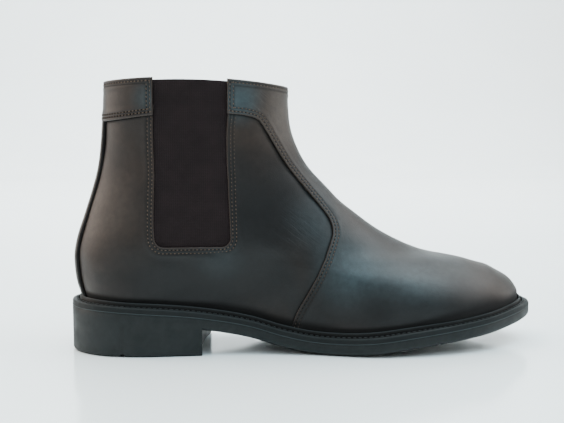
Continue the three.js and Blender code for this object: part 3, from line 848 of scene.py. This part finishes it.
# needle holes: painted shade, a dark colour on dimples that stand in for the shadowed holes
HOLE = plain(
    "needle_holes", (0.0012, 0.001, 0.0008), (0.0025, 0.002, 0.0016), 900, (0.8, 0.95), gloss=0.1,
)
RUBBER = plain(
    "sole_rubber", (0.0028, 0.0048, 0.0052), (0.005, 0.0078, 0.0084), 350, (0.55, 0.7), 0.15,
    0.0001, gloss=0.32,
)
# painted light on the welt: painted highlight where its attribute is above 0, painted shade below 0
WELTING = painted_light_and_shade(
    plain(
        "welt_rubber", (0.0012, 0.0015, 0.0017), (0.0022, 0.0028, 0.003), 300, (0.6, 0.75), 0.15,
        0.0001, gloss=0.2,
    ),
    (0.05, 0.066, 0.07), (0.0004, 0.0004, 0.0004),
)
FIBRE = plain("fibreboard", (0.3, 0.2, 0.11), (0.46, 0.33, 0.2), 500, (0.8, 0.95), 0.5)
CLOTH = plain("interlining_cloth", (0.45, 0.4, 0.33), (0.62, 0.56, 0.48), 900, (0.85, 0.98), 0.6)
CORK = plain("cork", (0.17, 0.09, 0.04), (0.42, 0.27, 0.14), 260, (0.8, 0.95), 0.7)
FOAM = plain("foam", (0.02, 0.02, 0.02), (0.05, 0.05, 0.05), 900, (0.9, 1.0), 0.6)
STEEL = plain("steel", (0.36, 0.36, 0.37), (0.52, 0.52, 0.53), 300, (0.28, 0.42), 0.1, 0.00005, 1.0)
PLASTIC = plain("core_plastic", (0.16, 0.15, 0.13), (0.24, 0.225, 0.2), 300, (0.5, 0.62), 0.1)

# ---- the upper
def mirrored(line):
    """The same line on the other side, its angles going on past the back."""
    return np.stack([2 * np.pi - line[:, 0], line[:, 1]], -1)


def vamp_line(side):
    """The vamp's seam from the topline down to the feather line."""
    top = seen(VAMP_SHAFT, side)
    top[0, 1] = 1
    run = seen(spline(VAMP_SEAM), side)
    run[-1, 1] = 0
    return [top, np.concatenate([top[-1:], run])]


def build_vamp():
    outer, inner = vamp_line(1), vamp_line(-1)
    start = outer[0][0, 0]
    sides = [
        (outer[0], True), (outer[1], True),
        (level(0, outer[1][-1, 0], inner[1][-1, 0]), False),
        (inner[1][::-1], True), (inner[0][::-1], True),
        (level(1, inner[0][0, 0], start), True),
    ]
    seams = sewn_edge(VAMP_ROWS)

    def height(d, p):
        toe = np.exp(-(((p[:, 0] - TOE_FILL_X) / TOE_FILL_REACH) ** 2))
        return seams(d, p) + TOE_FILL * toe * step(*TOE_FILL_Z, p[:, 2])

    piece = panel("vamp", sides, OVERLAY, height, spacing=2.4, rows=VAMP_ROWS)
    finish_piece(piece, UPPER, ["vamp"])
    paths = []
    for side, (shaft, seam) in ((1, outer), (-1, inner)):
        paths += [seam_path(seam, row, side) for row in VAMP_ROWS]
        paths += [seam_path(shaft, row, side) for row in GORE_ROWS]
    paths.append(seam_path(level(1, start, -start, 80), TOP_ROW, -1))
    sew("vamp", paths)


def build_collar():
    top = seen(COLLAR_SHAFT)
    top[0, 1] = 1
    low = seen(spline(COLLAR_EDGE, 30))
    other = mirrored(top)[::-1]
    joined = np.concatenate([top[-1:], low, mirrored(low)[::-1], other[:1]])
    sides = [
        (top, True), (joined, True), (other, True),
        (level(1, other[-1, 0], top[0, 0]), True),
    ]
    piece = panel("back_collar", sides, OVERLAY, sewn_edge(COLLAR_ROWS), rows=COLLAR_ROWS)
    finish_piece(piece, UPPER, ["back_collar"])
    paths = [seam_path(sides[1][0], row, -1, raised=0.35) for row in COLLAR_ROWS]
    paths += [seam_path(line, row, -1) for line in (top, other) for row in GORE_ROWS]
    paths.append(seam_path(sides[3][0], TOP_ROW, -1))
    sew("collar", paths)


def window(grow, top):
    """Gore opening's outline from the back edge's top, round the bottom, to the front's top."""
    x0, x1, z0 = GORE_BACK - grow, GORE_FRONT + grow, GORE_BOTTOM - grow
    r = GORE_CORNER
    quarter = np.linspace(0, np.pi / 2, 9)
    left = [(x0 + r - r * math.cos(a), z0 + r - r * math.sin(a)) for a in quarter]
    right = [(x1 - r + r * math.sin(a), z0 + r - r * math.cos(a)) for a in quarter]
    return [(x0, top), *left, *right, (x1, top)]


def build_quarter(side, word):
    opening = seen(window(0, 154), side)
    front = seen(spline(QUARTER_FRONT, 50)[::-1], side)
    front[-1, 1] = 0
    back = side * BACK_SEAM
    high = seen([QUARTER_BACK_TOP], side)[0, 1]
    sides = [
        (opening, True),
        (np.concatenate([opening[-1:], front]), False),
        (level(0, front[-1, 0], back), False),
        (np.array([[back, 0], [back, high]]), False),
        (np.concatenate([[[back, high]], opening[:1]]), False),
    ]
    over = [vamp_line(side)[1], seen(spline(COLLAR_EDGE, 30), side), stay_edge(side)]
    shape = sewn_edge(GORE_ROWS, 0.3)
    piece = panel("quarter_" + word, sides, QUARTER, shape, rows=GORE_ROWS, lines=over)
    finish_piece(piece, UPPER, ["quarter_" + word])
    edge = seen(window(0, 147), side)
    paths = [seam_path(edge, row, -side, QUARTER[0]) for row in GORE_ROWS]
    sew("gore_" + word, paths)


def build_gore(side, word):
    low = seen(window(GORE_SEAM, 160), side)[1:-1]
    top_back = seen([(GORE_BACK - GORE_SEAM, 165)], side)[0, 0]
    top_front = seen([(GORE_FRONT + GORE_SEAM, 165)], side)[0, 0]
    sides = [
        (np.concatenate([[[top_back, GORE_TOP]], low, [[top_front, GORE_TOP]]]), False),
        (level(GORE_TOP, top_front, top_back), True),
    ]

    def height(d, p):
        ribs = RIB_HEIGHT * np.sin(p[:, 0] * 2 * np.pi / RIB_PITCH)
        return ribs - 0.4 * (1 - np.clip(d / 0.5, 0, 1)) ** 2

    rim = [seen(window(0, 168), side)]
    piece = panel("gore_" + word, sides, GORE, height, THIN_RINGS, 1.3, lines=rim)
    finish_piece(piece, ELASTIC, ["gore_" + word])


def stay_edge(side):
    """The backstay's edge on the lateral (1) or medial (-1) side, from the welt to the collar."""
    heights = np.linspace(STAY_FOOT, STAY_TOP, 40)
    line = np.stack(locate_back(-side * along(STAY_HALF, heights / STAY_SPAN), heights), -1)
    line[0, 1] = 0
    return line


def build_backstay():
    lateral, medial = stay_edge(1), stay_edge(-1)
    sides = [
        (lateral[::-1], True), (level(0, lateral[0, 0], medial[0, 0]), False), (medial, True),
        (np.array([medial[-1], lateral[-1]]), False),
    ]
    piece = panel("backstay", sides, OVERLAY, sewn_edge(STAY_ROWS, 0.15, 3.0), spacing=2.4)
    finish_piece(piece, UPPER, ["backstay"])
    for word, line, out in (("lateral", lateral, -1), ("medial", medial, 1)):
        name = "backstay_piping_" + word
        tube = tube_mesh(name, offset(resampled(line, 1.5), PIPING_RADIUS, out))
        finish_piece(tube, PIPING, [name])


def tube_mesh(name, line, ring=12):
    """A cord lying along (angle, t) rows, its centre sunk into the outer surface."""
    n = outward(line[:, 0], line[:, 1])
    p = on_boot(line) - n * PIPING_SINK
    wide = np.cross(unit(np.gradient(p, axis=0)), n)
    a = (np.arange(ring) * 2 * np.pi / ring)[None, :, None]
    verts = p[:, None] + PIPING_RADIUS * (np.cos(a) * wide[:, None] + np.sin(a) * n[:, None])
    faces = quads(len(p), ring) + end_caps(len(p), ring)
    return make_mesh(name, verts.reshape(-1, 3), faces)


# ---- linings
def lining_edge(d, p):
    return 0.2 * wobble(p, 38, 2.0) - 0.3 * (1 - np.clip(d / 0.4, 0, 1)) ** 2


def build_lining(name, sides, depths, material, node):
    piece = panel(name, sides, depths, lining_edge, THIN_RINGS, LINING_SPACING, facing=-1)
    finish_piece(piece, material, [node])


def build_linings():
    outer, inner = seen(FRONT_LINING_EDGE), seen(FRONT_LINING_EDGE, -1)
    for rows in (outer, inner):
        rows[-1, 1] = LINING_FOOT
        rows[0, 1] = LINING_TOP
    outer[0, 0] = seen([(FRONT_LINING_EDGE[0][0], LINING_HIGH)])[0, 0]
    inner[0, 0] = -outer[0, 0]
    sides = [
        (outer, True), (level(LINING_FOOT, outer[-1, 0], inner[-1, 0]), False),
        (inner[::-1], True), (level(LINING_TOP, inner[0, 0], outer[0, 0]), True),
    ]
    build_lining("front_lining", sides, FRONT_LINING, LINING, "vamp_lining")
    for side, word in SIDES:
        build_back_lining(side, word)
    low = seen(HEEL_LINING_EDGE)
    low[0, 1] = LINING_FOOT
    high = mirrored(low)
    sides = [
        (np.concatenate([low, high[::-1]]), True),
        (level(LINING_FOOT, high[0, 0], low[0, 0]), False),
    ]
    build_lining("heel_lining", sides, HEEL_LINING, SUEDE, "heel_lining")


def build_back_lining(side, word):
    front = seen(BACK_LINING_FRONT, side)
    opening = seen(window(-LINING_BACK, 160), side)[::-1]
    for line, end, x in (
        (front, 0, BACK_LINING_FRONT[0][0]), (opening, 0, GORE_FRONT - LINING_BACK),
        (opening, -1, GORE_BACK + LINING_BACK),
    ):
        line[end] = [seen([(x, LINING_HIGH)], side)[0, 0], LINING_TOP]
    heel = seen(BACK_LINING_HEEL, side)
    front[-1, 1] = heel[0, 1] = LINING_FOOT
    back = side * BACK_SEAM
    seam = np.array([[back, heel[-1, 1]], [back, LINING_TOP]])
    sides = [
        (front, False),
        (level(LINING_FOOT, front[-1, 0], heel[0, 0]), False),
        (np.concatenate([heel, seam[:1]]), False),
        (seam, False),
        (level(LINING_TOP, back, opening[-1, 0]), True),
        (opening[::-1], True),
        (level(LINING_TOP, opening[0, 0], front[0, 0]), True),
    ]
    node = "quarter_lining_" + word
    build_lining("lining_" + word, sides, BACK_LINING, LINING, node)


# ---- rings of the sole
def set_in(p, run, d):
    """Plan points moved inwards by d, square to the unit vectors along the outline."""
    return np.stack([p[:, 0] + run[:, 1] * d, p[:, 1] - run[:, 0] * d], -1)


def sole_outline(angle, d=0.0):
    def at(a):
        return np.stack([SOLE_HALF_LENGTH * np.cos(a), around(SOLE_PLAN, a)], -1)

    return set_in(at(angle), unit(at(angle + TINY) - at(angle - TINY)), d)


def feather_outline(angle, d=0.0):
    run = surface(angle + TINY, 0.0) - surface(angle - TINY, 0.0)
    run[:, 2] = 0
    return set_in(surface(angle, 0.0), unit(run), d)


def raise_to(plan, z):
    return np.concatenate([plan, np.broadcast_to(z, (len(plan),))[:, None]], 1)


def even_run(a, b, count, fine=3000):
    """Angles from a to b, evenly spaced along the outline."""
    table = np.linspace(a, b, fine)
    s = lengths(sole_outline(table))
    return np.interp(np.linspace(0, s[-1], count), s, table)


def hoop(name, rings, smooth_angle=40):
    """Closed body through rings, the last joined to the first."""
    n = len(rings[0])
    faces = [tuple(v % (n * len(rings)) for v in f) for f in quads(len(rings) + 1, n)]
    return make_mesh(name, np.concatenate(rings), faces, smooth_angle)


# Painted highlight (up to 1) or painted shade (down to -1) on the welt at each of its rings.
WELT_PAINTED_LIGHT = [
    0, 0.3, 0.6, 0.6, 0.4, 0.08, 0.08, 0.12, 0.2, 0.2, 0.05, 0, 0, 0, -1, -1, -0.95, -0.2, 0.16,
    0.2, 0.1, -0.6, -1, -1, 0, 0,
]
MARK_RINGS = slice(12, 14)  # the rings that carry the wheel marks


def build_welt():
    """Rubber welt: wheel-marked lip, groove, bead against the upper, and a thin parting ridge."""
    per_mark, marks = 6, 200
    angle = even_run(0, 2 * np.pi, per_mark * marks + 1, 4001)[:-1]
    phase = np.arange(len(angle)) % per_mark
    mark = np.where((phase > 0) & (phase < 5), 1.0, 0.0)
    wall = surface(angle, 0.0) + outward(angle, 0.0) * BEAD_GAP
    edge = sole_outline(angle)

    def raised(p, rise, droop):
        return raise_to(p, lip_top(p[:, 0]) + rise - droop * step(*TOE_DROOP, p[:, 0]))

    def lip(inset, rise, droop=0.0):
        return raised(sole_outline(angle, inset), rise, droop)

    def between(k, rise, droop=0.0):
        return raised(edge + (wall[:, :2] - edge) * k, rise, droop)

    low = feather_outline(angle, WELT_TUCK)
    foot = -WELT_THICK - GLUE_GAP
    rings = [
        lip(0.6, foot), lip(0.12, foot), lip(-0.08, foot + 0.16), lip(-0.08, foot + 0.34),
        lip(0.06, foot + 0.46), lip(0.1, foot + 0.6), lip(0.06, -1.2, 1.6), lip(0.14, -0.6, 2.1),
        lip(0.4, -0.2, 1.8), lip(0.9, -0.03, 1.3), between(0.3, 0.05, 0.8), between(0.4, 0.08, 0.5),
        between(0.43, 0.65 * mark - 0.05, 0.4), between(0.6, 0.85 * mark - 0.3),
        between(0.625, -1.9), between(0.715, -2.0), between(0.735, 0.5), between(0.77, 1.6),
        between(0.82, 2.4), between(0.875, BEAD_HEIGHT - 0.05), between(0.93, BEAD_HEIGHT - 0.15),
        between(0.98, 2.2), between(1, 1.2), between(1, 0),
        raise_to(low, lip_top(low[:, 0])), raise_to(low, lip_top(low[:, 0]) + foot + 0.25),
    ]
    piece = hoop("welt", rings)
    wear_and_light = np.array(WELT_PAINTED_LIGHT)[:, None] + np.zeros(len(angle))
    # painted light at the wheel marks: lighter on the marks as a painted highlight, painted shade in
    # the notches between them
    wear_and_light[MARK_RINGS] = 1.25 * mark - 0.95
    add_attribute(piece, "wear_and_light", wear_and_light.ravel())
    finish_piece(piece, WELTING, ["welt"])


def breast_line(y):
    xl, xm = BREAST_X
    flat = xl + (xm - xl) * (y + BREAST_HALF) / (2 * BREAST_HALF)
    return flat - BREAST_HOLLOW * np.maximum(0, 1 - (y / HOLLOW_HALF) ** 2)


OUTLINE_TABLE = np.linspace(0, 2 * np.pi, 6001)


def breast_crossings(d):
    """Angles where the outline, inset by d, meets the breast line: lateral side, medial side."""
    p = sole_outline(OUTLINE_TABLE, d)
    f = p[:, 0] - breast_line(p[:, 1])
    at = np.where(f[:-1] * f[1:] < 0)[0]
    k = f[at] / (f[at] - f[at + 1])
    found = OUTLINE_TABLE[at] + k * (OUTLINE_TABLE[1] - OUTLINE_TABLE[0])
    return found[0], found[-1]


def sole_top(x):
    return lip_top(x) - WELT_THICK - GLUE_GAP


def tread(x):
    return np.maximum(0, lip_top(x) - SOLE_DEPTH)


def notched(x, z, level_here):
    """Edge heights with the two grooves that run out through the side."""
    for centre in THROUGH_GROOVES:
        z = np.where(np.abs(x - centre) < GROOVE_HALF, np.maximum(z, level_here + GROOVE_DEPTH), z)
    return z


def fill(border, inner, seat):
    """Points and triangles over a flat outline; seat turns its 2-D points into 3-D ones."""
    n = len(border)
    flat = [Vector(p) for p in np.concatenate([border, inner])]
    found = delaunay_2d_cdt(flat, [(i, (i + 1) % n) for i in range(n)], [], 1, 1e-4)
    points = np.array([tuple(v) for v in found[0]])
    return seat(points), [tuple(f) for f in found[2]]


def grooved_lattice(low, high, centres):
    """Points over the tread: close columns at each groove's walls, open ones between.

    They go a little past the tread's border; the caller keeps those inside it.
    """
    columns = list(np.arange(low, high, 6.0))
    columns = [x for x in columns if all(abs(x - c) > 2.2 for c in centres)]
    columns += [c + e for c in centres for e in GROOVE_COLUMNS]
    edge = sole_outline(OUTLINE_TABLE, GROOVE_INSET)
    outer, inner = edge[OUTLINE_TABLE < np.pi][::-1], edge[OUTLINE_TABLE >= np.pi]
    out = []
    for x in sorted(columns):
        outer_y, inner_y = np.interp(x, *outer.T), np.interp(x, *inner.T)
        ends = [inner_y + e for e in (-0.35, 0, 0.25)] + [outer_y + e for e in (-0.25, 0, 0.35)]
        rows = np.concatenate([ends, np.linspace(inner_y + 2, outer_y - 2, 14)])
        out += [(x, y) for y in rows]
    return np.array(out)


def groove_depth(p, centres):
    """1 in a groove, 0 outside it."""
    within = inside(p, sole_outline(OUTLINE_TABLE, GROOVE_INSET + 0.1))
    deep = np.zeros(len(p))
    for c in centres:
        reach = 1.0 if c in THROUGH_GROOVES else within
        deep = np.maximum(deep, (np.abs(p[:, 0] - c) < GROOVE_HALF) * reach)
    return deep


def edge_line(d, behind, height):
    """One line round the sole, inset by d: the part behind the breast or the part before it."""
    lateral, medial = breast_crossings(d)
    if behind:
        angle = even_run(lateral, medial, 300)
    else:
        angle = even_run(medial, lateral + 2 * np.pi, 560)
    p = sole_outline(angle, d)
    return raise_to(p, height(p[:, 0]))


def side_lines(behind, rings, ground):
    """Lines up the sole's side, from its underside to its top."""
    lines = [
        edge_line(d, behind, lambda x, h=h: notched(x, ground(x) + h, ground(x)))
        for d, h in rings
    ]
    if behind:
        lines.append(edge_line(0, behind, lambda x: tread(x) + FORE_RINGS[-1][1]))
    return lines + [
        edge_line(d, behind, lambda x, e=e: sole_top(x) - e) for d, e in TOP_EDGE
    ]


def strip(lines):
    """Points and faces of an open band through lines of the same length."""
    return np.concatenate(lines), quads(len(lines), len(lines[0]), closed=False)


def underside(line, centres, low, high, ground):
    """The tread inside its edge line and the breast line, with its grooves."""
    ys = np.linspace(line[-1, 1], line[0, 1], 40)[1:-1]
    border = np.concatenate([line[:, :2], np.stack([breast_line(ys), ys], -1)])
    inner = grooved_lattice(low, high, centres)

    def seat(p):
        return raise_to(p, ground(p[:, 0]) + GROOVE_DEPTH * groove_depth(p, centres))

    points, faces = fill(border, inner[inside(inner, border)], seat)
    return points, [f[::-1] for f in faces]


def breast_wall(heel, fore):
    """The heel's front, filled in its own plane between its foot and the forepart's underside."""
    right, left, over_left, over_right = [
        [(line[end, 1], line[end, 2]) for line in lines[:5]]
        for lines, end in ((heel, 0), (heel, -1), (fore, 0), (fore, -1))
    ]
    over_left = over_left[::-1]
    foot = [(y, 0.0) for y in np.linspace(right[0][0], left[0][0], 40)[1:-1]]
    across = np.linspace(over_left[-1][0], over_right[0][0], 40)[1:-1]
    roof = [(y, float(tread(breast_line(y)))) for y in across]
    outline = np.array(right[::-1] + foot + left + over_left + roof + over_right)
    ys, zs = np.meshgrid(np.linspace(-33, 33, 34), np.linspace(2, 18, 8))
    inner = np.stack([ys.ravel(), zs.ravel()], -1)

    def seat(p):
        return np.stack([breast_line(p[:, 0]), p[:, 0], p[:, 1]], -1)

    return fill(outline, inner[inside(inner, outline)], seat)


def build_outsole():
    heel = side_lines(True, HEEL_RINGS, lambda x: 0 * x)
    fore = side_lines(False, FORE_RINGS, tread)
    top = np.concatenate([heel[-1][:-1, :2], fore[-1][:-1, :2]])
    parts = [
        strip(heel),
        strip(fore),
        underside(heel[0], HEEL_GROOVES, -150, -62, lambda x: 0 * x),
        underside(fore[0], FORE_GROOVES, -66, 148, tread),
        breast_wall(heel, fore),
        fill(top, np.zeros((0, 2)), lambda p: raise_to(p, sole_top(p[:, 0]))),
    ]
    faces, start = [], 0
    for points, own in parts:
        faces += [tuple(i + start for i in f) for f in own]
        start += len(points)
    verts = np.concatenate([points for points, _ in parts])
    piece = make_mesh("outsole", verts, faces, SOLE_SMOOTH)
    work = bmesh.new()
    work.from_mesh(piece.data)
    bmesh.ops.remove_doubles(work, verts=work.verts, dist=0.02 * MM)
    bmesh.ops.recalc_face_normals(work, faces=work.faces)
    work.to_mesh(piece.data)
    work.free()
    piece.data.set_sharp_from_angle(angle=math.radians(SOLE_SMOOTH))
    finish_piece(piece, RUBBER, ["outsole"])


def capped(name, rings, smooth_angle=35):
    """Closed body through rings, its two ends filled."""
    n = len(rings[0])
    faces = quads(len(rings), n)
    for base, turn in ((0, True), ((len(rings) - 1) * n, False)):
        border = [Vector(p[:2]) for p in rings[base // n]]
        found = delaunay_2d_cdt(border, [(i, (i + 1) % n) for i in range(n)], [], 1, 1e-5)
        if len(found[0]) != n:
            raise ValueError(name + ": an end outline crosses itself")
        back = {k: v[0] for k, v in enumerate(found[3])}
        for f in found[2]:
            tri = [base + back[v] for v in f]
            faces.append(tri[::-1] if turn else tri)
    return make_mesh(name, np.concatenate(rings), faces, smooth_angle)


def build_footbed():
    angle = np.linspace(0, 2 * np.pi, 240, endpoint=False)

    def plate(inset, rise):
        d = inset + 4.4 * np.maximum(0, np.cos(angle)) ** 6
        p = feather_outline(angle, d)
        over_pad = 1 - step(-84, -56, p[:, 0])
        return raise_to(p, lip_top(p[:, 0]) + rise + PAD_RISE * over_pad)

    rings = [plate(5.3, 7.6), plate(5.2, 8.6), plate(5.6, 9.0), plate(6.4, 9.15)]
    finish_piece(capped("footbed", rings), BED, ["footbed"])


def dress_hidden_nodes():
    """The pieces inside keep their CAD shape and get their own materials."""
    looks = {
        "toe_puff": FIBRE, "vamp_interlining": CLOTH, "heel_counter": FIBRE,
        "insole_board": FIBRE, "heel_pad": FOAM, "shank": STEEL, "shank_rivet_1": STEEL,
        "shank_rivet_2": STEEL, "bottom_filler": CORK, "heel_core": PLASTIC,
    }
    looks.update({"heel_nail_%d" % i: STEEL for i in range(1, 6)})
    for name, material in looks.items():
        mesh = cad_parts[name].data
        mesh.materials.clear()
        mesh.materials.append(material)


# ---- stage
def build_stage():
    """A pale floor that sweeps up into the background a good way behind the boot."""
    near, far, wide, high, bend = -9.0, 3.2, 14.0, 3.5, 1.2
    turn = np.linspace(0, math.pi / 2, 30)
    profile = [(near, 0.0)]
    profile += [(far - bend + bend * math.sin(a), bend - bend * math.cos(a)) for a in turn]
    profile.append((far, high))
    verts = [(x, y, z) for y, z in profile for x in (-wide, wide)]
    mesh = bpy.data.meshes.new("floor")
    faces = [(2 * i, 2 * i + 1, 2 * i + 3, 2 * i + 2) for i in range(len(profile) - 1)]
    mesh.from_pydata(verts, [], faces)
    mesh.polygons.foreach_set("use_smooth", [True] * len(faces))
    floor = bpy.data.objects.new("floor", mesh)
    bpy.context.scene.collection.objects.link(floor)
    material, tree, skin = shader("pale_floor")
    tone = noise(tree, place(tree), 3, 2, 0.5)
    shade = ramp(tree, tone, (0.3, (0.83, 0.91, 0.93)), (0.7, (0.86, 0.94, 0.96)))
    # painted shade: the floor darkens towards the front, outside the camera's view, so less light
    # comes up off it onto the boot
    front = remap(tree, split_xyz(tree)["Y"], (-0.7, -0.2), (1.0, 0.0))
    feed(tree, skin.inputs["Base Color"], mixed(tree, front, shade, (0.45, 0.49, 0.5)))
    skin.inputs["Roughness"].default_value = 0.15
    mesh.materials.append(material)


def light(name, place_at, aim, size, energy, colour=(1, 1, 1)):
    data = bpy.data.lights.new(name, "AREA")
    data.shape = "RECTANGLE"
    data.size, data.size_y = size
    data.energy = energy
    data.color = colour
    lamp = bpy.data.objects.new(name, data)
    lamp.location = place_at
    lamp.rotation_euler = (Vector(aim) - Vector(place_at)).to_track_quat("-Z", "Y").to_euler()
    bpy.context.scene.collection.objects.link(lamp)


def build_lights():
    """Soft boxes above and to the sides; the room is bright behind the boot, dim in front."""
    light("front_top", (0.2, -0.45, 1.3), (0.1, 0, 0.05), (1.2, 0.5), 13, (0.6, 0.88, 1.0))
    light("front", (0.35, -1.3, 1.25), (0.05, 0, 0.05), (0.9, 0.4), 6, (0.8, 0.93, 1.0))
    light("front_left", (-0.9, -0.9, 0.7), (-0.05, 0, 0.08), (0.6, 0.6), 2)
    light("left", (-1.2, 0.25, 0.6), (-0.05, 0, 0.08), (0.9, 1.0), 12, (1.0, 0.82, 0.7))
    light("left_high", (-0.7, 0.1, 1.2), (-0.05, 0, 0.08), (0.6, 0.6), 6, (1.0, 0.9, 0.8))
    light("right", (1.25, 0.1, 0.55), (0.05, 0, 0.05), (0.9, 0.9), 5.5, (1.0, 0.96, 0.93))
    light("right_high", (0.8, 0.0, 1.1), (0.1, 0, 0.05), (0.6, 0.6), 9, (0.85, 0.94, 1.0))
    light("back_high", (0.0, 0.9, 1.0), (0, 0, 0.08), (1.4, 0.4), 12, (0.8, 0.93, 1.0))
    light("backdrop", (0, 1.2, 1.8), (0, 3.0, 0.6), (3.0, 1.0), 170)
    world = bpy.data.worlds.new("studio")
    world.use_nodes = True
    tree = world.node_tree
    depth = split_xyz(tree, "Generated")["Y"]
    room = tree.nodes["Background"].inputs
    feed(tree, room["Strength"], remap(tree, depth, (-0.75, 0.35), (0.3, 2.85), "SMOOTHSTEP"))
    feed(tree, room["Color"], (1, 0.985, 0.94))
    bpy.context.scene.world = world


def build_camera():
    data = bpy.data.cameras.new("camera")
    data.sensor_width = 36
    data.lens = LENS
    camera = bpy.data.objects.new("camera", data)
    camera.location = [v * MM for v in CAMERA_AT]
    camera.rotation_euler = (math.radians(90 - CAMERA_DOWN), 0, math.radians(-CAMERA_TURN))
    bpy.context.scene.collection.objects.link(camera)
    bpy.context.scene.camera = camera


build_camera()
build_vamp()
build_collar()
for side, word in SIDES:
    build_quarter(side, word)
    build_gore(side, word)
build_backstay()
build_linings()
build_welt()
build_outsole()
build_footbed()
dress_hidden_nodes()
build_stage()
build_lights()
